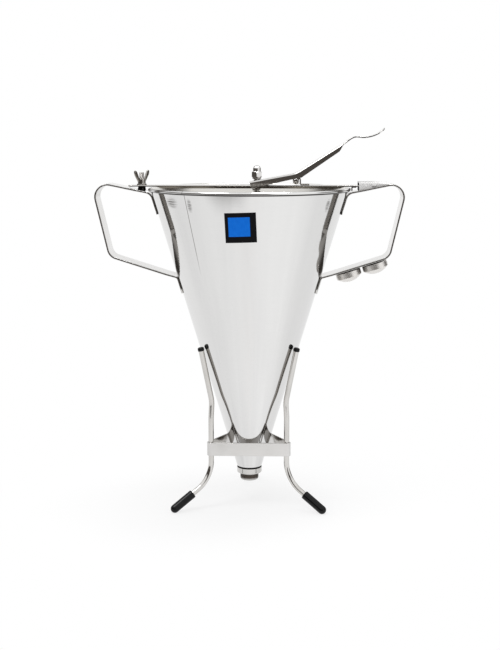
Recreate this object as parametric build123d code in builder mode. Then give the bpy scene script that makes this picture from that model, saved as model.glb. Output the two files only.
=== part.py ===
from build123d import *
import os
from math import atan2, cos, hypot, radians, sin, tan

os.makedirs("parts", exist_ok=True)

# A piston funnel in its wire stand. Z is up from the table, the cone's axis is X = Y = 0,
# the crossbar and the handles lie along X, and the front is towards -Y. Millimetres.

# ---- driving dimensions -------------------------------------------------------------------

# bowl
outlet_height = 38.7
mouth_radius = 99.9
outlet_radius = 13.0
cone_half_angle = 16.74
cone_sheet = 1.0
bead_radius = 1.8

# threaded outlet and nozzles
thread_radius = 9.5
thread_length = 5.7
thread_gap = 0.08
ferrule_bore = 7.5
ferrule_grip = 5.0
seal_thickness = 1.2
seal_outer_radius = 12.0
collar_radius = 13.0
collar_height = 6.6
spout_radius = 9.6
spout_length = 7.5
spout_bore = 4.0
spare_bores = (2.0, 3.0)
dome_height = 4.7
edge_break = 0.8

# strap handles
strap_width = 30.0
strap_sheet = 1.8
upper_tab_length = 22.0
lower_tab_length = 17.0
upper_bend_drop = 3.9
lower_bend_drop = 89.0
upper_corner_reach = 59.0
upper_corner_rise = 8.4
lower_corner_reach = 41.6
lower_corner_drop = 67.6
handle_radii = (9.0, 12.5, 11.0, 4.0)
spare_stub_offsets = (27.0, 55.0)

# crossbar and its clamp
bar_width = 20.0
bar_sheet = 1.5
bar_rise = 4.2
bar_overhang_left = 22.2
bar_overhang_right = 19.6
bar_corner = 4.0
flange_setback_left = 11.8
flange_setback_right = 9.2
flange_taper = 5.0
flange_depth = 3.0
lug_width = 8.0
lug_sheet = 1.2
lug_depth = 4.2
lug_bead_gap = 0.4
stud_overhang = 9.3
stud_radius = 2.5
stud_rise = 12.5
stud_hole_clearance = 0.3
stud_slot_play = 2.0
spacer_radius = 3.7
spacer_foot_radius = 4.3
washer_radius = 5.0
washer_thickness = 1.0
wing_hub_radius = 4.1
wing_hub_height = 5.2
wing_sheet = 2.0
wing_turn = 58.0
wing_outline = (
    (2.0, 1.0),
    (4.9, 1.3),
    (11.0, 8.8),
    (12.5, 13.1),
    (10.8, 14.2),
    (7.8, 12.8),
    (4.1, 4.9),
    (2.0, 4.7),
)

# socket on the right handle that takes the bar's end
socket_start = 10.1
socket_flat_length = 18.5
socket_length = 30.5
socket_rise = 3.4
socket_sheet = 1.2
socket_play = 0.5
socket_window_start = 15.0
socket_window_length = 4.6
socket_window_height = 1.8

# rod, valve and spring
bar_hole_x = 7.2
rod_radius = 3.0
rod_play = 0.08
ball_radius = 6.0
ball_neck_radius = 4.4
ball_neck_length = 11.0
seat_gap = 0.1
bush_radius = 4.5
bush_flange_radius = 6.0
bush_flange = 1.5
bush_stake = 0.7
spring_wire_radius = 0.45
spring_mean_radius = 3.8
spring_length = 34.0
spring_turns = 9
end_gap = 0.15
collar_ring_radius = 6.4
collar_ring_height = 3.0
cross_pin_radius = 0.8
lever_free_play = 0.35
nut_spacer_radius = 4.4
nut_spacer_height = 1.6
nut_across_flats = 10.0
nut_hex_height = 5.6
nut_dome_radius = 4.1
nut_dome_height = 6.2
nut_dome_round = 3.3
nut_thread_depth = 8.5

# lever; the x values are along the bar, the rises are above the bar's top
lever_width = 24.0
lever_sheet = 1.2
pivot_x = 46.9
pivot_rise = 4.1
pivot_pin_radius = 1.6
pin_head_radius = 2.6
pin_head_height = 0.8
pin_play = 0.05
side_gap = 0.25
ear_radius = 3.0
heel = (0.3, 3.6)
bend = (47.2, 12.3)
shoulder = (94.9, 42.2)
crest = (104.5, 49.1)
dip = (114.4, 48.0)
tongue_tip = (135.3, 57.5)
shoulder_slope = 36.0
tip_slope = 45.0
tongue_width = 22.0
tongue_corner = 7.0
wall_under_heel = (2.1, -3.6)
wall_under_bend = (43.1, 6.0)
wall_under_arm = (52.2, 7.6)
wall_under_shoulder = (90.4, 33.8)
heel_corner = 2.2
rod_slot_length = 8.8
rod_slot_width = 6.7
bracket_width = 12.0
bracket_sheet = 1.5
bracket_post_x = 51.4
bracket_foot_length = 9.0

# label on the front of the cone
label_size = 30.0
label_x = -5.9
label_drop = 32.0
label_thickness = 0.2
label_glue = 0.05

# wire stand
leg_angles = {"front_left": 210, "front_right": 330, "back": 90}
wire_radius = 2.8
leg_top_height = 168.0
leg_cap_radius = 3.3
leg_cap_length = 3.4
leg_cap_top = 1.3
rest_gap = 0.3
neck_gap = 6.05
neck_height = 112.0
ring_top_drop = 18.0
foot_reach = 90.6
foot_slope = 32.0
foot_radius = 4.4
foot_length = 28.5
foot_sole_depth = 0.4
foot_end_wall = 3.0
neck_bend = 35.0
ring_bend = 60.0
knee_bend = 34.0
band_bottom = 55.2
band_height = 14.0
band_sheet = 1.4
band_gap = 3.1

# ---- bowl ---------------------------------------------------------------------------------

slope = tan(radians(cone_half_angle))
wall = cone_sheet / cos(radians(cone_half_angle))
cone_bottom = outlet_height
rim_height = cone_bottom + (mouth_radius - outlet_radius) / slope


def cone_radius(height):
    """Outside radius of the cone at a height above the table."""
    return mouth_radius - (rim_height - height) * slope


# Spun cone with its rim rolled outwards into a bead.
with BuildPart() as funnel_cone:
    with BuildSketch(Plane.XZ):
        with BuildLine():
            Polyline(
                (outlet_radius, cone_bottom),
                (mouth_radius, rim_height),
                (mouth_radius - wall, rim_height),
                (outlet_radius - wall, cone_bottom),
                close=True,
            )
        make_face()
        with Locations((mouth_radius + bead_radius - wall, rim_height)):
            Circle(bead_radius)
    revolve(axis=Axis.Z)
funnel_cone.part.label = "funnel_cone"
export_step(funnel_cone.part, "parts/funnel_cone.step")

# Turned ferrule welded inside the small end, with the male thread standing out below.
thread_bottom = cone_bottom - thread_length
ferrule_top = cone_bottom + ferrule_grip
with BuildPart() as outlet_ferrule:
    with BuildSketch(Plane.XZ):
        with BuildLine():
            Polyline(
                (ferrule_bore, thread_bottom),
                (thread_radius - edge_break / 2, thread_bottom),
                (thread_radius, thread_bottom + edge_break / 2),
                (thread_radius, cone_bottom),
                (outlet_radius - wall, cone_bottom),
                (cone_radius(ferrule_top) - wall, ferrule_top),
                (ferrule_bore, ferrule_top - ferrule_grip / 2),
                close=True,
            )
        make_face()
    revolve(axis=Axis.Z)
outlet_ferrule.part.label = "outlet_ferrule"
export_step(outlet_ferrule.part, "parts/outlet_ferrule.step")

# Thin square label that follows the front of the cone on a film of glue.
label_height = rim_height - label_drop
label_half_rise = label_size / 2 * cos(radians(cone_half_angle))
label_low = label_height - label_half_rise
label_high = label_height + label_half_rise
with BuildPart() as label:
    with BuildSketch(Plane.XZ):
        with BuildLine():
            Polyline(
                (cone_radius(label_low) + label_glue, label_low),
                (cone_radius(label_high) + label_glue, label_high),
                (cone_radius(label_high) + label_glue + label_thickness, label_high),
                (cone_radius(label_low) + label_glue + label_thickness, label_low),
                close=True,
            )
        make_face()
    revolve(axis=Axis.Z)
    with BuildSketch(Plane.XZ):
        with Locations((label_x, label_height)):
            Rectangle(label_size, label_size)
    extrude(amount=mouth_radius, mode=Mode.INTERSECT)
label.part.label = "label"
export_step(label.part, "parts/label.step")

# ---- nozzles, seals and their threads -----------------------------------------------------

# Each nozzle is drawn hanging from a face at Z = 0, with its seal ring between.
collar_top = -seal_thickness
collar_bottom = collar_top - collar_height
socket_floor = -thread_length - end_gap
socket_radius = thread_radius + thread_gap
spout_bottom = collar_bottom - spout_length
seat_bottom = socket_floor - (ferrule_bore - spout_bore)

with BuildPart() as seal_pattern:
    with BuildSketch(Plane.XY):
        Circle(seal_outer_radius)
        Circle(socket_radius, mode=Mode.SUBTRACT)
    extrude(amount=-seal_thickness)

# Nozzle with a straight spout: threaded collar, 45 degree valve seat, outlet bore.
with BuildPart() as spout_pattern:
    with BuildSketch(Plane.XZ):
        with BuildLine():
            Polyline(
                (socket_radius, collar_top),
                (collar_radius - edge_break, collar_top),
                (collar_radius, collar_top - edge_break),
                (collar_radius, collar_bottom + 2 * edge_break),
                (collar_radius - 2 * edge_break, collar_bottom),
                (spout_radius, collar_bottom),
                (spout_radius, spout_bottom + 2 * edge_break),
                (spout_radius - 2 * edge_break, spout_bottom),
                (spout_bore, spout_bottom),
                (spout_bore, seat_bottom),
                (ferrule_bore, socket_floor),
                (socket_radius, socket_floor),
                close=True,
            )
        make_face()
    revolve(axis=Axis.Z)

# Fitted nozzle and its seal, screwed on the ferrule.
outlet_face = Location((0, 0, cone_bottom))
with BuildPart() as nozzle:
    add(spout_pattern.part.moved(outlet_face))
nozzle.part.label = "nozzle"
export_step(nozzle.part, "parts/nozzle.step")

with BuildPart() as nozzle_seal:
    add(seal_pattern.part.moved(outlet_face))
nozzle_seal.part.label = "nozzle_seal"
export_step(nozzle_seal.part, "parts/nozzle_seal.step")

# ---- strap handles ------------------------------------------------------------------------

half_strap = strap_sheet / 2
tab_shift = half_strap / cos(radians(cone_half_angle))


def tab_point(drop):
    """Point on the middle of a strap tab that lies on the cone, below the rim by drop."""
    height = rim_height - drop
    return (cone_radius(height) + tab_shift, height)


upper_corner = (mouth_radius + upper_corner_reach, rim_height + upper_corner_rise)
lower_corner = (mouth_radius + lower_corner_reach, rim_height - lower_corner_drop)
upper_bend = tab_point(upper_bend_drop)
lower_bend = tab_point(lower_bend_drop)

# The two ends of the strap, curved to lie on the cone, both sides at once.
with BuildPart() as curved_tabs:
    with BuildSketch(Plane.XZ):
        for top_drop, tab_length in (
            (upper_bend_drop, upper_tab_length),
            (lower_bend_drop, lower_tab_length),
        ):
            top = rim_height - top_drop
            bottom = top - tab_length * cos(radians(cone_half_angle))
            with BuildLine():
                Polyline(
                    (cone_radius(bottom), bottom),
                    (cone_radius(top), top),
                    (cone_radius(top) + 2 * tab_shift, top),
                    (cone_radius(bottom) + 2 * tab_shift, bottom),
                    close=True,
                )
            make_face()
    revolve(axis=Axis.Z)
    with BuildSketch(Plane.YZ):
        with Locations((0, rim_height / 2)):
            Rectangle(strap_width, 2 * rim_height)
    extrude(amount=2 * mouth_radius, mode=Mode.INTERSECT)

# Flat loop of the strap, trimmed to the outside of the cone, with its curved tabs.
with BuildPart() as right_handle:
    with BuildSketch(Plane.XZ):
        with BuildLine():
            FilletPolyline(
                tab_point(upper_bend_drop + upper_tab_length / 2),
                upper_bend,
                upper_corner,
                lower_corner,
                lower_bend,
                tab_point(lower_bend_drop + lower_tab_length / 2),
                radius=list(handle_radii),
            )
        trace(line_width=strap_sheet)
    extrude(amount=strap_width / 2, both=True)
    with Locations((0, 0, (cone_bottom + rim_height) / 2)):
        Cone(outlet_radius, mouth_radius, rim_height - cone_bottom, mode=Mode.SUBTRACT)
    add(curved_tabs.part)
right_handle.part.label = "right_handle"
export_step(right_handle.part, "parts/right_handle.step")

with BuildPart() as left_handle:
    mirror(right_handle.part, about=Plane.YZ)
left_handle.part.label = "left_handle"
export_step(left_handle.part, "parts/left_handle.step")

# Spare nozzles hang from two threaded stubs under the right handle's lower run.
run_length = hypot(lower_corner[0] - lower_bend[0], lower_corner[1] - lower_bend[1])
run_cos = (lower_corner[0] - lower_bend[0]) / run_length
run_sin = (lower_corner[1] - lower_bend[1]) / run_length
run_up = Vector(-run_sin, 0, run_cos)
spare_planes = []
for along in spare_stub_offsets:
    middle = Vector(lower_bend[0] + along * run_cos, 0, lower_bend[1] + along * run_sin)
    under = middle - run_up * half_strap
    spare_planes.append(Plane(origin=under, x_dir=(run_cos, 0, run_sin), z_dir=run_up))

with BuildPart() as spare_stubs:
    for spare_plane in spare_planes:
        with BuildSketch(spare_plane):
            Circle(thread_radius)
        extrude(amount=-thread_length)
    chamfer(
        spare_stubs.faces().filter_by(GeomType.PLANE).sort_by(Axis((0, 0, 0), run_up))[:2].edges(),
        edge_break / 2,
    )
spare_stubs.part.label = "spare_stubs"
export_step(spare_stubs.part, "parts/spare_stubs.step")

for spare_name, spare_plane, bore in zip(("inner", "outer"), spare_planes, spare_bores):
    # Nozzle with a domed end and a small bore in the middle of the dome.
    dome_edge = collar_radius - edge_break
    dome_floor = socket_floor - (ferrule_bore - bore)
    dome_tip = collar_bottom - dome_height
    dome_curve = (dome_edge**2 + dome_height**2) / (2 * dome_height)
    bore_mouth = dome_tip + dome_curve - (dome_curve**2 - bore**2) ** 0.5
    with BuildPart() as dome_pattern:
        with BuildSketch(Plane.XZ):
            with BuildLine():
                Polyline(
                    (bore, bore_mouth),
                    (bore, dome_floor),
                    (ferrule_bore, socket_floor),
                    (socket_radius, socket_floor),
                    (socket_radius, collar_top),
                    (collar_radius - edge_break, collar_top),
                    (collar_radius, collar_top - edge_break),
                    (collar_radius, collar_bottom + edge_break),
                    (dome_edge, collar_bottom),
                )
                RadiusArc((dome_edge, collar_bottom), (bore, bore_mouth), dome_curve)
            make_face()
        revolve(axis=Axis.Z)
    with BuildPart() as spare_nozzle:
        add(dome_pattern.part.moved(spare_plane.location))
    spare_nozzle.part.label = f"spare_nozzle_{spare_name}"
    export_step(spare_nozzle.part, f"parts/spare_nozzle_{spare_name}.step")

    with BuildPart() as spare_seal:
        add(seal_pattern.part.moved(spare_plane.location))
    spare_seal.part.label = f"spare_seal_{spare_name}"
    export_step(spare_seal.part, f"parts/spare_seal_{spare_name}.step")

# ---- crossbar, its socket and its clamp ---------------------------------------------------

bar_top = rim_height + bar_rise
bar_under = bar_top - bar_sheet
bar_left = -mouth_radius - bar_overhang_left
bar_right = mouth_radius + bar_overhang_right
flange_left = -mouth_radius + flange_setback_left
flange_right = mouth_radius - flange_setback_right
stud_x = -mouth_radius - stud_overhang
strap_cos = cos(atan2(upper_corner[1] - upper_bend[1], upper_corner[0] - upper_bend[0]))
strap_slope = (upper_corner[1] - upper_bend[1]) / (upper_corner[0] - upper_bend[0])


def strap_top(x):
    """Height of the top face of either handle's upper run, at a distance x from the axis."""
    return upper_bend[1] + (abs(x) - upper_bend[0]) * strap_slope + half_strap / strap_cos


# Shallow channel: flat web with two turned-down flanges, flat ends and a lug at the right
# that hooks over the rim's bead.
lug_x = mouth_radius + 2 * bead_radius - wall + lug_bead_gap
with BuildPart() as crossbar:
    with BuildSketch(Plane.XY.offset(bar_under)) as bar_plan:
        with Locations(((bar_left + bar_right) / 2, 0)):
            Rectangle(bar_right - bar_left, bar_width)
        fillet(bar_plan.vertices(), bar_corner)
        with Locations((stud_x, 0)):
            SlotOverall(
                2 * (stud_radius + stud_hole_clearance) + stud_slot_play,
                2 * (stud_radius + stud_hole_clearance),
                mode=Mode.SUBTRACT,
            )
        with Locations((bar_hole_x, 0)):
            Circle(bush_radius, mode=Mode.SUBTRACT)
    extrude(amount=bar_sheet)
    with BuildSketch(Plane.XZ.offset(bar_width / 2 - bar_sheet)):
        with BuildLine():
            Polyline(
                (flange_left - flange_taper, bar_under),
                (flange_right + flange_taper, bar_under),
                (flange_right, bar_top - flange_depth),
                (flange_left, bar_top - flange_depth),
                close=True,
            )
        make_face()
    flange = extrude(amount=bar_sheet)
    mirror(flange, about=Plane.XZ)
    with BuildSketch(Plane.YZ.offset(lug_x)):
        with Locations((0, bar_under - lug_depth / 2)):
            Rectangle(lug_width, lug_depth)
    extrude(amount=lug_sheet)
crossbar.part.label = "crossbar"
export_step(crossbar.part, "parts/crossbar.step")

# Folded hood welded on the right handle: the bar's right end slides under it.
socket_left = mouth_radius + socket_start
socket_flat_end = socket_left + socket_flat_length
socket_right = socket_left + socket_length
socket_window_x = socket_left + socket_window_start
socket_top = bar_top + socket_rise
socket_inner = bar_width / 2 + socket_play
with BuildPart() as bar_socket:
    with BuildSketch(Plane.XZ):
        with BuildLine():
            Polyline(
                (socket_left, strap_top(socket_left)),
                (socket_left, socket_top),
                (socket_flat_end, socket_top),
                (socket_right, strap_top(socket_right) + socket_sheet),
                (socket_right, strap_top(socket_right)),
                close=True,
            )
        make_face()
    extrude(amount=socket_inner + socket_sheet, both=True)
    with BuildSketch(Plane.XZ):
        with BuildLine():
            Polyline(
                (socket_left, strap_top(socket_left)),
                (socket_left, socket_top - socket_sheet),
                (socket_flat_end, socket_top - socket_sheet),
                (socket_right - 2 * socket_sheet, strap_top(socket_right - 2 * socket_sheet)),
                close=True,
            )
        make_face()
    extrude(amount=socket_inner, both=True, mode=Mode.SUBTRACT)
    with BuildSketch(Plane.XZ):
        with Locations((socket_window_x, (strap_top(socket_window_x) + socket_top) / 2)):
            SlotOverall(socket_window_length, socket_window_height)
    extrude(amount=socket_inner + socket_sheet, both=True, mode=Mode.SUBTRACT)
bar_socket.part.label = "bar_socket"
export_step(bar_socket.part, "parts/bar_socket.step")

# Stud welded on the left handle's sloping strap, and the rubber spacer under the bar.
strap_plane = Plane(
    origin=(stud_x, 0, strap_top(stud_x)), x_dir=(1, 0, -strap_slope), z_dir=(strap_slope, 0, 1)
)
stud_top = bar_top + stud_rise
with BuildPart() as clamp_stud:
    with BuildSketch(Plane.XY.offset(strap_top(stud_x) - 2 * stud_radius)):
        with Locations((stud_x, 0)):
            Circle(stud_radius)
    extrude(amount=stud_top - strap_top(stud_x) + 2 * stud_radius)
    chamfer(clamp_stud.faces().sort_by(Axis.Z)[-1].edges(), edge_break)
    split(bisect_by=strap_plane, keep=Keep.TOP)
clamp_stud.part.label = "clamp_stud"
export_step(clamp_stud.part, "parts/clamp_stud.step")

with BuildPart() as clamp_spacer:
    with BuildSketch(Plane.XZ):
        with BuildLine():
            Polyline(
                (stud_x + stud_radius, bar_under),
                (stud_x + spacer_radius, bar_under),
                (stud_x + spacer_foot_radius, strap_top(stud_x)),
                (stud_x + spacer_foot_radius, strap_top(stud_x) - 2 * stud_radius),
                (stud_x + stud_radius, strap_top(stud_x) - 2 * stud_radius),
                close=True,
            )
        make_face()
    revolve(axis=Axis((stud_x, 0, 0), (0, 0, 1)))
    split(bisect_by=strap_plane, keep=Keep.TOP)
clamp_spacer.part.label = "clamp_spacer"
export_step(clamp_spacer.part, "parts/clamp_spacer.step")

with BuildPart() as clamp_washer:
    with BuildSketch(Plane.XY.offset(bar_top)):
        with Locations((stud_x, 0)):
            Circle(washer_radius)
            Circle(stud_radius + thread_gap, mode=Mode.SUBTRACT)
    extrude(amount=washer_thickness)
clamp_washer.part.label = "clamp_washer"
export_step(clamp_washer.part, "parts/clamp_washer.step")

# Wing nut: round hub and two upswept wings.
hub_bottom = bar_top + washer_thickness
wing_plane = Plane(
    origin=(stud_x, 0, hub_bottom),
    x_dir=(cos(radians(wing_turn)), sin(radians(wing_turn)), 0),
    z_dir=(sin(radians(wing_turn)), -cos(radians(wing_turn)), 0),
)
with BuildPart() as wing_nut:
    with BuildSketch(Plane.XY.offset(hub_bottom)):
        with Locations((stud_x, 0)):
            Circle(wing_hub_radius)
    extrude(amount=wing_hub_height)
    chamfer(wing_nut.edges().filter_by(GeomType.CIRCLE), edge_break / 2)
    for side in (1, -1):
        with BuildSketch(wing_plane):
            with BuildLine():
                Polyline([(side * reach, rise) for reach, rise in wing_outline], close=True)
            make_face()
        extrude(amount=wing_sheet / 2, both=True)
    with Locations((stud_x, 0, hub_bottom + wing_hub_height)):
        Hole(stud_radius + thread_gap, depth=wing_hub_height)
wing_nut.part.label = "wing_nut"
export_step(wing_nut.part, "parts/wing_nut.step")

# ---- rod, valve and spring ----------------------------------------------------------------

# The bar's hole stands to the right of the cone's axis, so the rod leans by a degree or so
# between the ball's seat on the axis and the bush in the bar.
seat_apex = cone_bottom + seat_bottom - spout_bore
ball_height = seat_apex + (ball_radius + seat_gap) / sin(radians(45))
bush_middle = bar_top - bar_sheet / 2
rod_direction = Vector(bar_hole_x, 0, bush_middle - ball_height).normalized()
rod_plane = Plane(
    origin=(0, 0, ball_height), x_dir=(rod_direction.Z, 0, -rod_direction.X), z_dir=rod_direction
)


def along_rod(height):
    """Distance along the rod, from the ball's centre, to a height above the table."""
    return (height - ball_height) / rod_direction.Z


# Bush staked in the bar: flange below, leaning bore for the rod.
with BuildPart() as guide_bush:
    with BuildSketch(Plane.XY.offset(bar_under - bush_flange)):
        with Locations((bar_hole_x, 0)):
            Circle(bush_flange_radius)
    extrude(amount=bush_flange)
    with BuildSketch(Plane.XY.offset(bar_under)):
        with Locations((bar_hole_x, 0)):
            Circle(bush_radius)
    extrude(amount=bar_sheet + bush_stake)
    with BuildSketch(rod_plane.offset(along_rod(bar_under - 2 * bush_flange))):
        Circle(rod_radius + rod_play)
    extrude(amount=4 * bush_flange + bar_sheet, mode=Mode.SUBTRACT)
guide_bush.part.label = "guide_bush"
export_step(guide_bush.part, "parts/guide_bush.step")

# Heights along the rod above the bar are set by the lever's web where the rod passes it.
lever_slope = (bend[1] - heel[1]) / (bend[0] - heel[0])
web_at_rod = bar_top + heel[1] + (bar_hole_x + nut_spacer_radius - heel[0]) * lever_slope
spacer_start = along_rod(web_at_rod + lever_free_play)
nut_start = spacer_start + nut_spacer_height
rod_end = nut_start + nut_thread_depth
spring_top = bar_under - bush_flange - end_gap
collar_start = along_rod(spring_top - spring_length) - collar_ring_height
pin_station = collar_start + collar_ring_height / 2

with BuildPart() as piston_rod:
    with BuildSketch(rod_plane.offset(ball_radius / 2)):
        Circle(rod_radius)
    extrude(amount=rod_end - ball_radius / 2)
    chamfer(piston_rod.faces().sort_by(Axis.Z)[-1].edges(), edge_break)
    with BuildSketch(Plane.XZ):
        pin_point = rod_plane.origin + rod_direction * pin_station
        with Locations((pin_point.X, pin_point.Z)):
            Circle(cross_pin_radius)
    extrude(amount=rod_radius, both=True, mode=Mode.SUBTRACT)
piston_rod.part.label = "piston_rod"
export_step(piston_rod.part, "parts/piston_rod.step")

# Ball valve tip with a short neck, bored for the rod.
with BuildPart() as valve_tip:
    with BuildSketch(rod_plane):
        Circle(ball_neck_radius)
    extrude(amount=ball_neck_length)
    chamfer(valve_tip.faces().sort_by(Axis.Z)[-1].edges(), edge_break)
    with Locations(rod_plane.location):
        Sphere(ball_radius)
    with BuildSketch(rod_plane.offset(ball_radius / 2)):
        Circle(rod_radius)
    extrude(amount=ball_neck_length, mode=Mode.SUBTRACT)
valve_tip.part.label = "valve_tip"
export_step(valve_tip.part, "parts/valve_tip.step")

with BuildPart() as spring_collar:
    with BuildSketch(rod_plane.offset(collar_start)):
        Circle(collar_ring_radius)
        Circle(rod_radius, mode=Mode.SUBTRACT)
    extrude(amount=collar_ring_height)
    with BuildSketch(Plane.XZ):
        with Locations((pin_point.X, pin_point.Z)):
            Circle(cross_pin_radius)
    extrude(amount=collar_ring_radius, both=True, mode=Mode.SUBTRACT)
spring_collar.part.label = "spring_collar"
export_step(spring_collar.part, "parts/spring_collar.step")

with BuildPart() as collar_pin:
    with BuildSketch(Plane.XZ):
        with Locations((pin_point.X, pin_point.Z)):
            Circle(cross_pin_radius)
    extrude(amount=collar_ring_radius + edge_break, both=True)
collar_pin.part.label = "collar_pin"
export_step(collar_pin.part, "parts/collar_pin.step")

# Return spring between the bush and the collar; its wire has eight flats.
coil_height = spring_length - 2 * spring_wire_radius - 2 * end_gap
coil_base = along_rod(spring_top) - spring_wire_radius - coil_height
with BuildPart() as coil_pattern:
    with BuildLine() as coil:
        Helix(pitch=coil_height / spring_turns, height=coil_height, radius=spring_mean_radius)
    with BuildSketch(Plane(origin=coil.line @ 0, z_dir=coil.line % 0)):
        RegularPolygon(spring_wire_radius, 8)
    sweep(path=coil.line, is_frenet=True)

with BuildPart() as return_spring:
    add(coil_pattern.part.moved(rod_plane.offset(coil_base).location))
return_spring.part.label = "return_spring"
export_step(return_spring.part, "parts/return_spring.step")

with BuildPart() as nut_spacer:
    with BuildSketch(rod_plane.offset(spacer_start)):
        Circle(nut_spacer_radius)
        Circle(rod_radius, mode=Mode.SUBTRACT)
    extrude(amount=nut_spacer_height)
nut_spacer.part.label = "nut_spacer"
export_step(nut_spacer.part, "parts/nut_spacer.step")

# Acorn nut: hexagon with a domed cap and a blind thread.
with BuildPart() as cap_nut:
    with BuildSketch(rod_plane.offset(nut_start)):
        RegularPolygon(nut_across_flats / 2, 6, major_radius=False)
    extrude(amount=nut_hex_height)
    with BuildSketch(rod_plane.offset(nut_start + nut_hex_height)):
        Circle(nut_dome_radius)
    extrude(amount=nut_dome_height)
    fillet(
        cap_nut.faces().sort_by(Axis(rod_plane.origin, rod_direction))[-1].edges(),
        nut_dome_round,
    )
    with BuildSketch(rod_plane.offset(nut_start)):
        Circle(rod_radius)
    extrude(amount=nut_thread_depth, mode=Mode.SUBTRACT)
cap_nut.part.label = "cap_nut"
export_step(cap_nut.part, "parts/cap_nut.step")

# ---- lever and its pivot ------------------------------------------------------------------


def above_bar(point):
    """Point on the middle of the lever's web, from the rise of its top above the bar."""
    return (point[0], bar_top + point[1] - lever_sheet / 2)


pivot_height = bar_top + pivot_rise

# One folded sheet: web with two side walls, and a curled thumb tongue at the right.
with BuildPart() as lever:
    with BuildSketch(Plane.XZ):
        with BuildLine():
            Polyline(above_bar(heel), above_bar(bend), above_bar(shoulder))
            Spline(
                above_bar(shoulder),
                above_bar(crest),
                above_bar(dip),
                above_bar(tongue_tip),
                tangents=(
                    (cos(radians(shoulder_slope)), sin(radians(shoulder_slope))),
                    (cos(radians(tip_slope)), sin(radians(tip_slope))),
                ),
            )
        trace(line_width=lever_sheet)
    extrude(amount=lever_width / 2, both=True)
    with BuildSketch(Plane.XY.offset(bar_top)) as tongue_plan:
        with Locations(((shoulder[0] + tongue_tip[0]) / 2, 0)):
            Rectangle(tongue_tip[0] - shoulder[0], tongue_width)
        fillet(tongue_plan.vertices().group_by(Axis.X)[-1], tongue_corner)
        with Locations((shoulder[0] / 2, 0)):
            Rectangle(shoulder[0], lever_width)
    extrude(amount=tongue_tip[1], mode=Mode.INTERSECT)
    with BuildSketch(Plane.XZ.offset(lever_width / 2 - lever_sheet)) as side_wall:
        with BuildLine():
            Polyline(
                above_bar(heel),
                above_bar(bend),
                above_bar(shoulder),
                above_bar(wall_under_shoulder),
                above_bar(wall_under_arm),
                above_bar(wall_under_bend),
                above_bar(wall_under_heel),
                close=True,
            )
        make_face()
        fillet(side_wall.vertices().sort_by(Axis.Z)[0], heel_corner)
        with Locations((pivot_x, pivot_height)):
            Circle(ear_radius)
    near_wall = extrude(amount=lever_sheet)
    mirror(near_wall, about=Plane.XZ)
    with BuildSketch(Plane.XY.offset(bar_top)):
        with Locations((bar_hole_x + lever_slope, 0)):
            SlotOverall(rod_slot_length, rod_slot_width)
    extrude(amount=bend[1], mode=Mode.SUBTRACT)
    with BuildSketch(Plane.XZ):
        with Locations((pivot_x, pivot_height)):
            Circle(pivot_pin_radius + pin_play)
    extrude(amount=lever_width / 2, both=True, mode=Mode.SUBTRACT)
lever.part.label = "lever"
export_step(lever.part, "parts/lever.step")

# Pivot bracket welded on the bar: foot, upright post and a knuckle round the pin.
knuckle_radius = pivot_pin_radius + bracket_sheet
with BuildPart() as pivot_bracket:
    with BuildSketch(Plane.XZ):
        with Locations((pivot_x, pivot_height)):
            Circle(knuckle_radius)
        with BuildLine():
            Polyline(
                (pivot_x, pivot_height + knuckle_radius),
                (bracket_post_x + bracket_sheet / 2, pivot_height + knuckle_radius),
                (bracket_post_x + bracket_sheet / 2, bar_top + bracket_sheet),
                (bracket_post_x + bracket_foot_length, bar_top + bracket_sheet),
                (bracket_post_x + bracket_foot_length, bar_top),
                (bracket_post_x - bracket_sheet / 2, bar_top),
                (bracket_post_x - bracket_sheet / 2, pivot_height + pivot_pin_radius),
                (pivot_x, pivot_height + pivot_pin_radius),
                close=True,
            )
        make_face()
        with Locations((pivot_x, pivot_height)):
            Circle(pivot_pin_radius, mode=Mode.SUBTRACT)
    extrude(amount=bracket_width / 2, both=True)
pivot_bracket.part.label = "pivot_bracket"
export_step(pivot_bracket.part, "parts/pivot_bracket.step")

# Headed pin through the bracket and both side walls of the lever.
head_start = lever_width / 2 + side_gap
with BuildPart() as pivot_pin:
    with BuildSketch(Plane.XZ):
        with Locations((pivot_x, pivot_height)):
            Circle(pivot_pin_radius)
    extrude(amount=head_start, both=True)
    with BuildSketch(Plane.XZ.offset(head_start)):
        with Locations((pivot_x, pivot_height)):
            Circle(pin_head_radius)
    near_head = extrude(amount=pin_head_height)
    mirror(near_head, about=Plane.XZ)
pivot_pin.part.label = "pivot_pin"
export_step(pivot_pin.part, "parts/pivot_pin.step")

# ---- wire stand ---------------------------------------------------------------------------

# The band goes round the three wires, clear of the cone; the wires stand in its corners.
band_top = band_bottom + band_height
ring_radius_from_axis = 2 * (cone_radius(band_top) + band_gap - wire_radius)
neck_radius_from_axis = cone_radius(neck_height) + neck_gap + wire_radius
cap_top_height = leg_top_height + leg_cap_top
leg_top_from_axis = cone_radius(cap_top_height) + (leg_cap_radius + rest_gap) / cos(
    radians(cone_half_angle)
)
foot_run = Vector(cos(radians(foot_slope)), 0, -sin(radians(foot_slope)))
foot_end = Vector(foot_reach, 0, foot_radius * (1 + foot_run.Z) - foot_sole_depth)
knee = foot_end + foot_run * ((ring_radius_from_axis - foot_reach) / foot_run.X)
wire_end = foot_end - foot_run * foot_end_wall
leg_top = Vector(leg_top_from_axis, 0, leg_top_height)
neck = Vector(neck_radius_from_axis, 0, neck_height)

# One leg in the XZ plane, turned about the axis for each of the three.
with BuildPart() as leg_pattern:
    with BuildLine() as wire:
        FilletPolyline(
            leg_top,
            neck,
            (ring_radius_from_axis, 0, neck_height - ring_top_drop),
            knee,
            wire_end,
            radius=[neck_bend, ring_bend, knee_bend],
        )
    with BuildSketch(Plane(origin=wire.line @ 0, z_dir=wire.line % 0)):
        Circle(wire_radius)
    sweep(path=wire.line)

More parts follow.
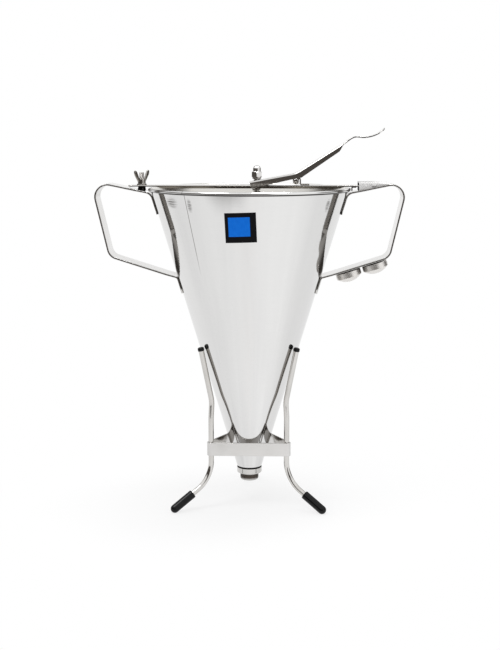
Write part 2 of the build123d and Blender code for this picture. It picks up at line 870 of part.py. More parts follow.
# Rubber sleeve on the leg's end. Its round tip is flattened where it stands on the table.
with BuildPart() as foot_pattern:
    with BuildSketch(Plane(origin=foot_end - foot_run * foot_length, z_dir=foot_run)):
        Circle(foot_radius)
    extrude(amount=foot_length - foot_radius)
    with Locations(foot_end - foot_run * foot_radius):
        Sphere(foot_radius)
    with BuildSketch(Plane(origin=wire_end, z_dir=-foot_run)):
        Circle(wire_radius)
    extrude(amount=foot_length, mode=Mode.SUBTRACT)
    split(bisect_by=Plane.XY, keep=Keep.TOP)

# Rubber cap on the leg's top; the cone leans on the three of them.
lean = (leg_top - neck).normalized()
with BuildPart() as cap_pattern:
    with BuildSketch(Plane(origin=leg_top + lean * leg_cap_top, z_dir=-lean)):
        Circle(leg_cap_radius)
    extrude(amount=leg_cap_length)
    fillet(cap_pattern.edges().filter_by(GeomType.CIRCLE).sort_by(Axis.Z)[-1], leg_cap_top)
    with BuildSketch(Plane(origin=leg_top, z_dir=-lean)):
        Circle(wire_radius)
    extrude(amount=leg_cap_length, mode=Mode.SUBTRACT)

for place, angle in leg_angles.items():
    turned = Location((0, 0, 0), (0, 0, angle))
    with BuildPart() as leg:
        add(leg_pattern.part.moved(turned))
    leg.part.label = f"leg_{place}"
    export_step(leg.part, f"parts/leg_{place}.step")

    with BuildPart() as foot:
        add(foot_pattern.part.moved(turned))
    foot.part.label = f"foot_{place}"
    export_step(foot.part, f"parts/foot_{place}.step")

    with BuildPart() as leg_cap:
        add(cap_pattern.part.moved(turned))
    leg_cap.part.label = f"leg_cap_{place}"
    export_step(leg_cap.part, f"parts/leg_cap_{place}.step")

# Flat band round the outside of the three legs, a triangle with rounded corners.
with BuildPart() as stand_band:
    with BuildSketch(Plane.XY.offset(band_bottom)):
        for face_radius, how in (
            (wire_radius + band_sheet, Mode.ADD),
            (wire_radius, Mode.SUBTRACT),
        ):
            with BuildSketch(mode=Mode.PRIVATE) as ring:
                RegularPolygon(ring_radius_from_axis, 3, rotation=90)
                offset(amount=face_radius, kind=Kind.ARC)
            add(ring.sketch, mode=how)
    extrude(amount=band_height)
stand_band.part.label = "stand_band"
export_step(stand_band.part, "parts/stand_band.step")
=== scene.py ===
import math

import bmesh
import bpy
import numpy as np
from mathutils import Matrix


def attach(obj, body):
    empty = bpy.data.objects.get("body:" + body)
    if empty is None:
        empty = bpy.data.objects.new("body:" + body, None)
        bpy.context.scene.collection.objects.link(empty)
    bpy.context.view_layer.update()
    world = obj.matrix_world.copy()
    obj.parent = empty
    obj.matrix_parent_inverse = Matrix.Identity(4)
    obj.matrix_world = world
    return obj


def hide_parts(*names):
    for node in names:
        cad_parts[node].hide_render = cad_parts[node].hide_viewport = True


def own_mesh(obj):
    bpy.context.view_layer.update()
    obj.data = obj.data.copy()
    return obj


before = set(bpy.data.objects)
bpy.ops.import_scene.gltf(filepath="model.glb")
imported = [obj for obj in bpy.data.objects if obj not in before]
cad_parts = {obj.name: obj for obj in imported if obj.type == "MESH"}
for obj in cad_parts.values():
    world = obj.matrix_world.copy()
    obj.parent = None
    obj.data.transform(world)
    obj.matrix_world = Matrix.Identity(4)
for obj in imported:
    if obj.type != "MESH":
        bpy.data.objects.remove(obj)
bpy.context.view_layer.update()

# ---- Bowl ----------------------------------------------------------------------------------
# The cone is spun from one millimetre stainless sheet and polished inside and out. Its rim is
# rolled outwards into a bead, and one welded seam runs down from the rim on the front left.

outlet_height, mouth_radius, outlet_radius = 38.7, 99.9, 13.0
cone_angle = math.radians(16.74)
cone_slope = math.tan(cone_angle)
rim_height = outlet_height + (mouth_radius - outlet_radius) / cone_slope
cone_wall = 1.0 / math.cos(cone_angle)
bead_radius = 1.77
seam_angle, seam_bottom = math.radians(233), 260.0


def cone_radius(height):
    """Outside radius of the cone, which grows evenly with the height."""
    return mouth_radius - (rim_height - height) * cone_slope


def unit(ways):
    """Directions divided by their own lengths."""
    return ways / np.linalg.norm(ways, axis=-1, keepdims=True)


def skin(name, grid, around=True, along=False, sharp=38.0):
    """Mesh over a grid of points in millimetres: rows follow one another along the piece and
    the points of a row go round it, and each four neighbours make a face. Rows that are drawn
    in to one point close to a pole. The UV map is the distance round and along, in
    centimetres."""
    rows = np.arange(grid.shape[0] + along) % grid.shape[0]
    columns = np.arange(grid.shape[1] + around) % grid.shape[1]
    number = rows[:, None] * grid.shape[1] + columns
    laid = grid[rows][:, columns]
    round_way = np.median(np.linalg.norm(np.diff(laid, axis=1), axis=-1), 0).cumsum() / 10
    long_way = np.median(np.linalg.norm(np.diff(laid, axis=0), axis=-1), 1).cumsum() / 10
    chart = np.stack(np.meshgrid(np.append(0, round_way), np.append(0, long_way)), -1)
    corners = [(slice(None, -1), slice(None, -1)), (slice(None, -1), slice(1, None)),
               (slice(1, None), slice(1, None)), (slice(1, None), slice(None, -1))]
    faces = np.stack([number[c] for c in corners], -1).reshape(-1, 4)
    mesh = bpy.data.meshes.new(name)
    mesh.from_pydata((grid.reshape(-1, 3) / 1000).tolist(), [], faces.tolist())
    chart_loops = np.stack([chart[c] for c in corners], -2)
    mesh.uv_layers.new(name="UVMap").data.foreach_set("uv", chart_loops.astype(np.float32).ravel())
    shell = bmesh.new()
    shell.from_mesh(mesh)
    bmesh.ops.remove_doubles(shell, verts=shell.verts, dist=1e-7)
    bmesh.ops.recalc_face_normals(shell, faces=shell.faces)
    shell.to_mesh(mesh)
    shell.free()
    mesh.shade_smooth()
    mesh.set_sharp_from_angle(angle=math.radians(sharp))
    piece = bpy.data.objects.new(name, mesh)
    bpy.context.scene.collection.objects.link(piece)
    even = piece.modifiers.new("even shading", "WEIGHTED_NORMAL")
    even.keep_sharp = True
    return piece


def net(*numbers):
    """Points made of their first, second and third numbers, each spread over the whole grid."""
    return np.stack(np.broadcast_arrays(*numbers), -1)


def full_turn(count):
    """Angles of one full turn in equal steps."""
    return np.linspace(0, 2 * np.pi, count, endpoint=False)


def turned(profile, count):
    """Grid of a profile of (radius, height) points turned about the Z axis in equal steps."""
    angle = full_turn(count)
    radius, height = profile[:, :1], profile[:, 1:]
    return net(radius * np.cos(angle), radius * np.sin(angle), height)


def node(tree, kind, inputs=(), **settings):
    """Adds a shader node with its settings, and a value or a link on each named input."""
    made = tree.nodes.new(kind)
    for key, value in settings.items():
        setattr(made, key, value)
    for key, value in dict(inputs).items():
        if isinstance(value, bpy.types.NodeSocket):
            tree.links.new(value, made.inputs[key])
        else:
            made.inputs[key].default_value = value
    return made


def reckoned(tree, operation, *values, **settings):
    """One step of arithmetic on values or links."""
    return node(tree, "ShaderNodeMath", dict(enumerate(values)), operation=operation,
                **settings).outputs[0]


def product(tree, first, *others):
    """All the numbers multiplied together."""
    for other in others:
        first = reckoned(tree, "MULTIPLY", first, other)
    return first


def vectors(tree, operation, *values):
    """One step of arithmetic on vectors or links."""
    made = node(tree, "ShaderNodeVectorMath", dict(enumerate(values)), operation=operation)
    return made.outputs["Value" if operation in ("LENGTH", "DOT_PRODUCT") else 0]


def apart(tree, vector):
    """The three numbers of a vector."""
    return node(tree, "ShaderNodeSeparateXYZ", {0: vector}).outputs


def together(tree, *numbers):
    """The vector of up to three numbers."""
    return node(tree, "ShaderNodeCombineXYZ", dict(enumerate(numbers))).outputs[0]


def rising(tree, value, low, high, bottom=0.0, top=1.0, kind="LINEAR"):
    """Goes from `bottom` where the value is `low` to `top` where it is `high`, and stays."""
    return node(tree, "ShaderNodeMapRange", {"Value": value, "From Min": low, "From Max": high,
                                             "To Min": bottom, "To Max": top},
                interpolation_type=kind).outputs[0]


def mixed(tree, share, first, second, **settings):
    """Goes from the first colour to the second as the share goes from 0 to 1, or to the
    product of both with the blend type MULTIPLY."""
    colours = {k: c if isinstance(c, bpy.types.NodeSocket) else (*c, 1)
               for k, c in ((6, first), (7, second))}
    return node(tree, "ShaderNodeMix", {0: share, **colours}, data_type="RGBA",
                **settings).outputs[2]


def noise(tree, place, scale, **looks):
    """Clouds of noise, as fine as the scale says."""
    return node(tree, "ShaderNodeTexNoise", {"Vector": place, "Scale": scale, **looks}).outputs[0]


def fresh(name, **values):
    """New material with values on its shader, its tree, and the places on the piece."""
    material = bpy.data.materials.new(name)
    material.use_nodes = True
    tree = material.node_tree
    for key, value in values.items():
        tree.nodes["Principled BSDF"].inputs[key.replace("_", " ")].default_value = value
    return material, tree, node(tree, "ShaderNodeTexCoord").outputs


def laid_on(tree, colour, rough, height, depth):
    """Links a colour, a roughness and a relief some metres deep to the shader."""
    relief = node(tree, "ShaderNodeBump", {"Height": height, "Distance": depth}).outputs[0]
    for name, link in (("Base Color", colour), ("Roughness", rough), ("Normal", relief)):
        tree.links.new(link, tree.nodes["Principled BSDF"].inputs[name])


def group(name, inputs):
    """Shader group with inputs of the given kinds and a finish as its outputs, and its input
    node's sockets."""
    made = bpy.data.node_groups.new(name, "ShaderNodeTree")
    for label, kind in inputs.items():
        made.interface.new_socket(label, in_out="INPUT", socket_type="NodeSocket" + kind)
    for label, kind in (("Color", "Color"), ("Roughness", "Float"), ("Height", "Float")):
        made.interface.new_socket(label, in_out="OUTPUT", socket_type="NodeSocket" + kind)
    return made, node(made, "NodeGroupInput").outputs


# Group for every steel face: fine lines left by polishing, brushing or turning, broken up by
# faint smudges from hands and cloths.
steel_face, given = group(
    "steel face", {"Place": "Vector", "Fineness": "Vector", "Body": "Vector", "Polish": "Float",
                   "Spread": "Float", "Light": "Color", "Dark": "Color"})
lines = rising(steel_face, noise(steel_face, vectors(steel_face, "MULTIPLY", given["Place"],
                                                     given["Fineness"]),
                                 1.0, Detail=4.0, Roughness=0.62), 0.3, 0.7)
smudge = rising(steel_face, noise(steel_face, given["Body"], 28.0, Detail=3.0, Distortion=0.6),
                0.35, 0.75)
rough = reckoned(steel_face, "MULTIPLY_ADD", reckoned(steel_face, "ADD", lines, smudge),
                 given["Spread"], given["Polish"])
tone = reckoned(steel_face, "MULTIPLY_ADD", smudge, 0.75, product(steel_face, lines, 0.25))
node(steel_face, "NodeGroupOutput",
     {"Color": mixed(steel_face, tone, given["Light"], given["Dark"]), "Roughness": rough,
      "Height": lines})


def steel(name, light, dark, polish, spread, fineness, depth, place=None, cloud=(1, 1, 1),
          marks=None, deep=(0.16, 0.14, 0.12), metal=1.0):
    """Stainless finish from the steel face group: lines as fine as `fineness` says across the
    UV map or across `place`, and `depth` metres deep, smudges drawn out by `cloud`, and a
    colour and roughness changed by `marks`. Its colour is painted darker in reflections, as
    painted shade: seen in one mirror it is drawn two thirds of the way to `deep` times
    itself, and in two all the way."""
    material, tree, where = fresh(name, Metallic=metal)
    laid = place(tree, where) if place else where["UV"]
    body = vectors(tree, "MULTIPLY", laid if place else where["Object"], cloud)
    face = node(tree, "ShaderNodeGroup",
                {"Place": laid, "Fineness": fineness, "Body": body, "Polish": polish,
                 "Spread": spread, "Light": (*light, 1), "Dark": (*dark, 1)},
                node_tree=steel_face).outputs
    colour, rough = face["Color"], face["Roughness"]
    if marks:
        colour, rough = marks(tree, face, apart(tree, where["Object"]))
    # Painted shade in reflections: the colour goes towards deep times itself with the ray's depth.
    times = rising(tree, node(tree, "ShaderNodeLightPath").outputs["Ray Depth"], 0.0, 1.5)
    laid_on(tree, mixed(tree, times, colour, deep, blend_type="MULTIPLY"), rough,
            face["Height"], depth)
    return material


def round_the_axis(tree, where):
    """Direction from the Z axis and height of a point, so that lines run round the cone."""
    across, ahead, height = apart(tree, where["Object"])
    way = apart(tree, vectors(tree, "NORMALIZE", together(tree, across, ahead)))
    return together(tree, way[0], way[1], height)


bead_offset = (bead_radius - cone_wall) * math.cos(cone_angle)
bead_reach = math.sqrt(bead_radius**2 - bead_offset**2)
bead_start = math.atan2(bead_offset * math.sin(cone_angle) - bead_reach * math.cos(cone_angle),
                        -bead_offset * math.cos(cone_angle) - bead_reach * math.sin(cone_angle))
bead_turn = np.linspace(bead_start, np.pi, 30)
bead = net(mouth_radius + bead_radius - cone_wall + bead_radius * np.cos(bead_turn),
           rim_height + bead_radius * np.sin(bead_turn))
climb = np.linspace(outlet_height, bead[0, 1], 40)[:-1]
outer_wall = net(cone_radius(climb), climb)
descent = np.linspace(rim_height, outlet_height, 40)[1:]
inner_wall = net(cone_radius(descent) - cone_wall, descent)
bowl = skin("bowl", turned(np.concatenate([outer_wall, bead, inner_wall]), 320), along=True)

# Each spot of painted reflection: its place across the front as a share of the radius, its
# height in metres, and half its size in each of the two.
painted_reflection_spots = ((-0.754, 0.3176, 0.075, 0.0070), (-0.567, 0.3157, 0.030, 0.0085),
                (0.800, 0.3148, 0.026, 0.0080))


def bowl_marks(tree, face, place):
    """Colour and roughness of the bowl. The seam is a thin dark line where a plane through the
    axis cuts the front. The inside is paler and duller. Dark ovals across direction and height
    on the front are painted reflections of the straps, broken up by the polishing lines. Under
    the bead a band is painted black as shade in the gap between bead and cone."""
    across, ahead, height = place
    front = reckoned(tree, "LESS_THAN", ahead, 0.0)
    off_seam = reckoned(tree, "MULTIPLY_ADD", ahead, math.cos(seam_angle),
                        product(tree, across, -math.sin(seam_angle)))
    core = rising(tree, reckoned(tree, "ABSOLUTE", off_seam), 0.00012, 0.0005, 1.0, 0.0,
                  "SMOOTHSTEP")
    climbing = rising(tree, height, (seam_bottom - 14) / 1000, (seam_bottom + 14) / 1000,
                      top=0.85)
    seam = product(tree, core, climbing, front)
    reach = vectors(tree, "LENGTH", together(tree, across, ahead))
    inside = reckoned(tree, "LESS_THAN", reach,
                      reckoned(tree, "MULTIPLY_ADD", height, cone_slope,
                               (cone_radius(0) - cone_wall / 2) / 1000))
    spot = together(tree, reckoned(tree, "DIVIDE", across, reach), height)
    painted_reflection = 0.0
    # Dark ovals on the front, painted as reflections of the straps.
    for aside, high, wide, tall in painted_reflection_spots:
        off = vectors(tree, "MULTIPLY_ADD", spot, (1 / wide, 1 / tall, 0),
                      (-aside / wide, -high / tall, 0))
        painted_reflection = reckoned(tree, "MAXIMUM", painted_reflection,
                          rising(tree, vectors(tree, "LENGTH", off), 1.0, 0.2,
                                 kind="SMOOTHSTEP"))
    streak = rising(tree, face["Height"], 0.25, 0.75, 0.1, 0.95)
    painted_reflection = product(tree, painted_reflection, streak, front)
    # Painted shade: a black band where the bead meets the cone.
    crevice_shade = product(tree, *(rising(tree, height, (bead[0, 1] + clear) / 1000,
                                     (bead[0, 1] + black) / 1000)
                              for clear, black in ((-1.0, -0.7), (0.8, 0.5))))
    colour = mixed(tree, seam, face["Color"], (0.10, 0.09, 0.08))
    colour = mixed(tree, inside, colour, (0.70, 0.685, 0.65))
    for share, dark in ((painted_reflection, (0.10, 0.092, 0.085)), (crevice_shade, (0.02, 0.017, 0.015))):
        outer = reckoned(tree, "SUBTRACT", share, inside, use_clamp=True)
        colour = mixed(tree, outer, colour, dark)
    return colour, reckoned(tree, "MULTIPLY_ADD", inside, 0.10, face["Roughness"])


# Its deep colour is painted shade in the bowl's reflections.
bowl_steel = steel("polished bowl steel", (0.83, 0.827, 0.82), (0.755, 0.752, 0.75),
                   0.05, 0.03, (6.0, 6.0, 1800.0), 6e-7, round_the_axis, (0.11, 0.11, 0.12),
                   bowl_marks, deep=(0.80, 0.78, 0.75))
bowl.data.materials.append(bowl_steel)
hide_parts("funnel_cone")
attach(bowl, "funnel")

# ---- Threaded outlet -----------------------------------------------------------------------
# A ferrule turned from stainless bar is welded inside the small end of the cone. Its male
# thread stands out below and takes the nozzle.

thread_radius, thread_length, thread_pitch, thread_depth = 9.5, 5.7, 1.5, 0.55
ferrule_bore, ferrule_grip = 7.5, 5.0


def bent(corners, radii, closed=False, steps=7):
    """Line through the corners with each bend rounded: an arc about the bend's centre, from
    the point where it leaves one straight run to the point where it meets the next."""
    corners = np.asarray(corners, float)
    middle, before, after = corners[1:-1], corners[:-2], corners[2:]
    if closed:
        middle, before, after = corners, np.roll(corners, 1, 0), np.roll(corners, -1, 0)
    back, forth = unit(before - middle), unit(after - middle)
    radii = np.broadcast_to(np.asarray(radii, float), len(middle))[:, None]
    half = np.arccos(np.clip((back * forth).sum(-1), -1, 1))[:, None] / 2
    centre = middle + unit(back + forth) * radii / np.sin(half)
    start = middle + back * radii / np.tan(half) - centre
    stop = middle + forth * radii / np.tan(half) - centre
    turn = (np.pi - 2 * half)[:, None]
    share = np.linspace(0, 1, steps)[None, :, None]
    arcs = (start[:, None] * np.sin((1 - share) * turn)
            + stop[:, None] * np.sin(share * turn)) / np.sin(turn) + centre[:, None]
    arcs = arcs.reshape(-1, corners.shape[1])
    return arcs if closed else np.concatenate([corners[:1], arcs, corners[-1:]])


def far_along(line):
    """Distance along the line from its start to each of its points."""
    return np.append(0, np.linalg.norm(np.diff(line, axis=0), axis=-1).cumsum())


def spread_over(line, gap):
    """The line with more points on its long runs, so that none is much longer than `gap`."""
    far = far_along(line)
    more = np.unique(np.concatenate([far, np.arange(0, far[-1], gap)]))
    more = more[np.append(True, np.diff(more) > 1e-4)]
    return net(*(np.interp(more, far, column) for column in line.T))


def threaded(grid, low, high, pitch, depth):
    """The grid with a screw thread cut in it: between the two heights each point moves in
    towards the axis by a triangle wave of its height and its angle."""
    angle = np.arctan2(grid[..., 1], grid[..., 0])
    wave = np.abs((grid[..., 2] / pitch - angle / (2 * np.pi)) % 1.0 * 2 - 1)
    ends = np.clip((grid[..., 2] - low) / 0.8, 0, 1) * np.clip((high - grid[..., 2]) / 0.8, 0, 1)
    share = 1 - depth * wave * ends / np.maximum(np.hypot(grid[..., 0], grid[..., 1]), 1)
    return grid * net(share, share, 1.0)


def thread_rows(start, stop, radius):
    """Profile of a cylinder's side with rows close enough for a screw thread."""
    return net(radius, np.arange(start, stop, 0.12))


def threaded_bar(low, high, radius, pitch, depth, count=96):
    """Grid of a threaded cylinder with broken edges, closed at both ends."""
    side = turned(thread_rows(low + 0.4, high - 0.39, radius), count)
    bottom = turned(np.array([(0, low), (radius - 0.4, low)]), count)
    top = turned(np.array([(radius - 0.4, high), (0, high)]), count)
    return np.concatenate([bottom, threaded(side, low, high, pitch, depth), top])


thread_bottom, grip_top = outlet_height - thread_length, outlet_height + ferrule_grip
thread_side = threaded(turned(thread_rows(thread_bottom + 0.4, outlet_height - 0.2,
                                          thread_radius), 96),
                       thread_bottom, outlet_height, thread_pitch, thread_depth)
above = turned(np.array([(thread_radius, outlet_height), (outlet_radius - cone_wall, outlet_height),
                         (cone_radius(grip_top) - cone_wall, grip_top),
                         (ferrule_bore, grip_top - ferrule_grip / 2),
                         (ferrule_bore, thread_bottom + 0.3), (ferrule_bore + 0.3, thread_bottom),
                         (thread_radius - 0.4, thread_bottom)]), 96)
outlet_thread = skin("threaded_outlet", np.concatenate([thread_side, above]), along=True)
turned_steel = steel("turned outlet steel", (0.66, 0.65, 0.64), (0.52, 0.51, 0.49),
                     0.16, 0.08, (0.4, 60.0, 1.0), 3e-6)
outlet_thread.data.materials.append(turned_steel)
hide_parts("outlet_ferrule")
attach(outlet_thread, "funnel")

# ---- Strap handles -------------------------------------------------------------------------
# Each handle is a flat stainless strap bent into a loop. Both its ends are curved to the cone
# and spot welded on. The spare nozzles hang under the right one.

strap_width, strap_sheet = 30.0, 1.8
upper_reach, upper_rise, lower_reach, lower_drop = 59.0, 8.4, 41.6, 67.6
upper_weld, upper_tab, lower_weld, lower_tab = 3.9, 22.0, 89.0, 17.0
sideways = (0.0, 1.0, 0.0)
handle_steel = steel("brushed strap steel", (0.70, 0.69, 0.68), (0.58, 0.57, 0.55),
                     0.08, 0.05, (55.0, 0.5, 1.0), 4e-7)


def carried(path, section, across, closed=False):
    """Grid of a section carried along a path. The section's second number is measured along
    the fixed direction `across`, its first at right angles to that and to the path."""
    ahead, behind = np.roll(path, -1, 0), np.roll(path, 1, 0)
    if not closed:
        ahead[-1], behind[0] = path[-1], path[0]
    across = np.broadcast_to(np.asarray(across, float), path.shape)
    out = unit(np.cross(across, ahead - behind))
    section = np.broadcast_to(section, (len(path), *section.shape[-2:]))
    return path[:, None] + section[..., :1] * out[:, None] + section[..., 1:] * across[:, None]


def capped(grid):
    """The grid with one more row at each end, drawn in to the middle of that end."""
    ends = [np.broadcast_to(row.mean(0), row.shape)[None] for row in (grid[0], grid[-1])]
    return np.concatenate([ends[0], grid, ends[1]])


def bar_section(thick, wide, edge, columns=10):
    """Outline of a flat bar's section with rounded edges, with even points across its faces."""
    t, w = thick / 2, wide / 2
    outline = bent([(-t, -w), (-t, w), (t, w), (t, -w)], edge, closed=True, steps=4)
    return spread_over(np.concatenate([outline, outline[:1]]), wide / columns)[:-1]


tab_shift = strap_sheet / 2 / math.cos(cone_angle)


def tab_point(drop):
    """Point on the middle of a strap end that lies on the cone, below the rim by `drop`."""
    return (cone_radius(rim_height - drop) + tab_shift, 0, rim_height - drop)


def drawn_in(far, radius):
    """How much a rounded end has drawn in at a distance from it: the gap between the radius
    and the height of a circle of that radius."""
    return radius - np.sqrt(radius**2 - np.clip(radius - far, 0, radius)**2)


upper_corner = (mouth_radius + upper_reach, 0, rim_height + upper_rise)
lower_corner = (mouth_radius + lower_reach, 0, rim_height - lower_drop)
upper_bend, lower_bend = tab_point(upper_weld), tab_point(lower_weld)
strap_line = spread_over(bent(
    [tab_point(upper_weld + upper_tab * math.cos(cone_angle)), upper_bend, upper_corner,
     lower_corner, lower_bend, tab_point(lower_weld + lower_tab * math.cos(cone_angle))],
    (9.0, 12.5, 11.0, 4.0), steps=14), 3.0)
strap_far = far_along(strap_line)
half_width = strap_width / 2 - drawn_in(np.minimum(strap_far, strap_far[-1] - strap_far), 3.0)
strap_grid = carried(strap_line, bar_section(strap_sheet, strap_width, 0.45), sideways)
strap_grid[..., 1] *= (half_width / (strap_width / 2))[:, None]
cone_there = cone_radius(strap_line[:, 2])[:, None]
# The ends follow the cone's curve, and the loop between them stays flat across.
hug = np.clip((34.0 - strap_far) / 10, 0, 1) + np.clip((strap_far - strap_far[-1] + 27) / 9, 0, 1)
strap_grid[..., 0] -= hug[:, None] * (cone_there
                                      - np.sqrt(cone_there**2 - strap_grid[..., 1]**2))
for side, name in ((1, "right"), (-1, "left")):
    handle = skin(f"{name}_strap_handle", capped(strap_grid * (side, 1, 1)))
    handle.data.materials.append(handle_steel)
    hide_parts(f"{name}_handle")
    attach(handle, "funnel")

# ---- Spare nozzle stubs --------------------------------------------------------------------
# Two short threaded studs are welded under the right handle's lower run, one for each spare
# nozzle.

run = unit(np.subtract(lower_corner, lower_bend))
run_up = np.array([-run[2], 0, run[0]])


def placed(grid, origin, up):
    """The grid moved so that its own Z axis lies along `up` and starts at `origin`."""
    up = unit(np.asarray(up, float))
    side = unit(np.cross(sideways, up))
    return np.asarray(origin) + (grid[..., :1] * side + grid[..., 1:2] * np.cross(up, side)
                                 + grid[..., 2:] * up)


spare_faces = [np.asarray(lower_bend) + along * run - run_up * strap_sheet / 2
               for along in (27.0, 55.0)]
stubs = [skin(f"spare_stub_{name}", placed(threaded_bar(-thread_length, 0.0, thread_radius,
                                                        thread_pitch, thread_depth), at, run_up))
         for name, at in zip(("inner", "outer"), spare_faces)]
for stub in stubs:
    stub.data.materials.append(turned_steel)
    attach(stub, "funnel")
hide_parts("spare_stubs")

# ---- Spare nozzles and their seals ---------------------------------------------------------
# Two nozzles with domed ends and smaller bores are turned from stainless bar. Each is screwed
# on its stub against a black rubber ring.

seal_thickness, seal_radius, collar_radius, collar_height = 1.2, 12.0, 13.0, 6.6
socket_radius = thread_radius + 0.08
socket_floor = -thread_length - 0.15
collar_top, collar_bottom = -seal_thickness, -seal_thickness - collar_height
dome_height = 4.7

# Group for every rubber piece: a fine moulded grain and a little dull dust.
rubber_face, given = group("rubber face", {"Place": "Vector", "Grain": "Float"})
dust = rising(rubber_face, noise(rubber_face, given["Place"], 90.0, Detail=4.0, Roughness=0.7),
              0.45, 0.8)
node(rubber_face, "NodeGroupOutput",
     {"Color": mixed(rubber_face, dust, (0.001, 0.001, 0.0015), (0.005, 0.005, 0.0045)),
      "Roughness": rising(rubber_face, dust, 0.0, 1.0, 0.16, 0.30),
      "Height": noise(rubber_face, given["Place"], given["Grain"], Detail=3.0)})


def rubber(name, grain_scale, depth, gloss):
    """Black rubber from the rubber face group, `gloss` being its specular level."""
    material, tree, where = fresh(name, Specular_IOR_Level=gloss)
    face = node(tree, "ShaderNodeGroup", {"Place": where["Object"], "Grain": grain_scale},
                node_tree=rubber_face).outputs
    laid_on(tree, face["Color"], face["Roughness"], face["Height"], depth)
    return material


seal_rubber = rubber("sealing ring rubber", 1800.0, 1.5e-6, 0.25)
seal_line = bent([(socket_radius, -seal_thickness), (seal_radius, -seal_thickness),
                  (seal_radius, 0), (socket_radius, 0)], 0.2, closed=True, steps=4)
nozzle_steel = steel("turned nozzle steel", (0.90, 0.88, 0.855), (0.80, 0.775, 0.745),
                     0.30, 0.08, (0.35, 45.0, 1.0), 4e-6)
for name, at, bore in zip(("inner", "outer"), spare_faces, (2.0, 3.0)):
    dome_edge = collar_radius - 0.8
    dome_curve = (dome_edge**2 + dome_height**2) / (2 * dome_height)
    dome_centre = collar_bottom - dome_height + dome_curve
    dome_turn = np.linspace(math.asin(dome_edge / dome_curve),
                            math.asin((bore + 0.3) / dome_curve), 22)
    dome = net(dome_curve * np.sin(dome_turn), dome_centre - dome_curve * np.cos(dome_turn))
    hollow = bent([dome[-1], (bore, dome[-1, 1] + 0.3), (bore, socket_floor - ferrule_bore + bore),
                   (ferrule_bore, socket_floor), (socket_radius, socket_floor),
                   (socket_radius, collar_top)], (0.1, 0.4, 0.4, 0.4), steps=3)
    collar = bent([(socket_radius, collar_top), (collar_radius, collar_top),
                   (collar_radius, collar_bottom), dome[0]], (0.8, 0.7), steps=7)
    spare = skin(f"spare_nozzle_{name}_turned",
                 placed(turned(np.concatenate([collar[1:-1], dome, hollow[1:]]), 128), at, run_up),
                 along=True)
    spare.data.materials.append(nozzle_steel)
    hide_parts(f"spare_nozzle_{name}")
    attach(spare, f"spare_nozzle_{name}")
    ring = skin(f"spare_seal_{name}_ring", placed(turned(seal_line, 96), at, run_up), along=True)
    ring.data.materials.append(seal_rubber)
    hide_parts(f"spare_seal_{name}")
    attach(ring, f"spare_seal_{name}")

# ---- Fitted nozzle and its seal ------------------------------------------------------------
# The nozzle in use is turned from stainless bar, with a grooved spout that is darker than its
# collar. It is screwed on the outlet against a black rubber ring, and its collar's top edge is
# painted black as shade under the ring.

spout_radius, spout_length, spout_bore = 9.6, 7.5, 4.0
spout_bottom = collar_bottom - spout_length
outlet_face = (0.0, 0.0, outlet_height)
groove_rows = np.arange(collar_bottom - 0.9, spout_bottom + 1.5, -0.1)
groove_depth, groove_pitch = 0.09, 0.7
grooves = net(spout_radius - groove_depth
              + groove_depth * np.cos(groove_rows / groove_pitch * 2 * np.pi), groove_rows)
nozzle_line = np.concatenate([
    bent([(socket_radius, collar_top), (collar_radius, collar_top), (collar_radius, collar_bottom),
          (spout_radius, collar_bottom), grooves[0]], (0.8, 1.3, 0.35), steps=8)[:-1],
    grooves,
    bent([grooves[-1], (spout_radius, spout_bottom), (spout_bore, spout_bottom),
          (spout_bore, socket_floor - ferrule_bore + spout_bore), (ferrule_bore, socket_floor),
          (socket_radius, socket_floor), (socket_radius, collar_top)],
         (1.4, 0.4, 0.4, 0.4, 0.4), steps=7)[1:-1]])
nozzle = skin("nozzle_turned", placed(turned(nozzle_line, 160), outlet_face, (0, 0, 1)), along=True)
spout_end = (outlet_height + spout_bottom) / 1000
collar_edge = (outlet_height + collar_top) / 1000


def nozzle_marks(tree, face, place):
    """The spout is darker between two heights, and the collar's top edge is painted black as shade
    under the seal.
    """
    darker_band = product(tree, rising(tree, place[2], spout_end + 0.0068, spout_end + 0.0060),
                     rising(tree, place[2], spout_end + 0.0014, spout_end + 0.0030, 0.2))
    # Painted shade: a black band at the collar's top edge, under the seal ring.
    edge_shade = rising(tree, place[2], collar_edge - 0.0009, collar_edge - 0.0006)
    colour = mixed(tree, darker_band, face["Color"], (0.085, 0.07, 0.06))
    return mixed(tree, edge_shade, colour, (0.02, 0.018, 0.016)), face["Roughness"]


spout_steel = steel("fitted nozzle steel", (0.70, 0.69, 0.675), (0.54, 0.525, 0.50),
                    0.12, 0.06, (0.35, 45.0, 1.0), 3e-6, marks=nozzle_marks)
nozzle.data.materials.append(spout_steel)
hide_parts("nozzle")
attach(nozzle, "nozzle")
outlet_seal = skin("nozzle_seal_ring", placed(turned(seal_line, 96), outlet_face, (0, 0, 1)),
                   along=True)
outlet_seal.data.materials.append(seal_rubber)
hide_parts("nozzle_seal")
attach(outlet_seal, "nozzle_seal")

# ---- Label ---------------------------------------------------------------------------------
# A square of printed film is stuck on the front of the cone: a black border round a plain blue
# field, which sits nearer to the upper left corner.

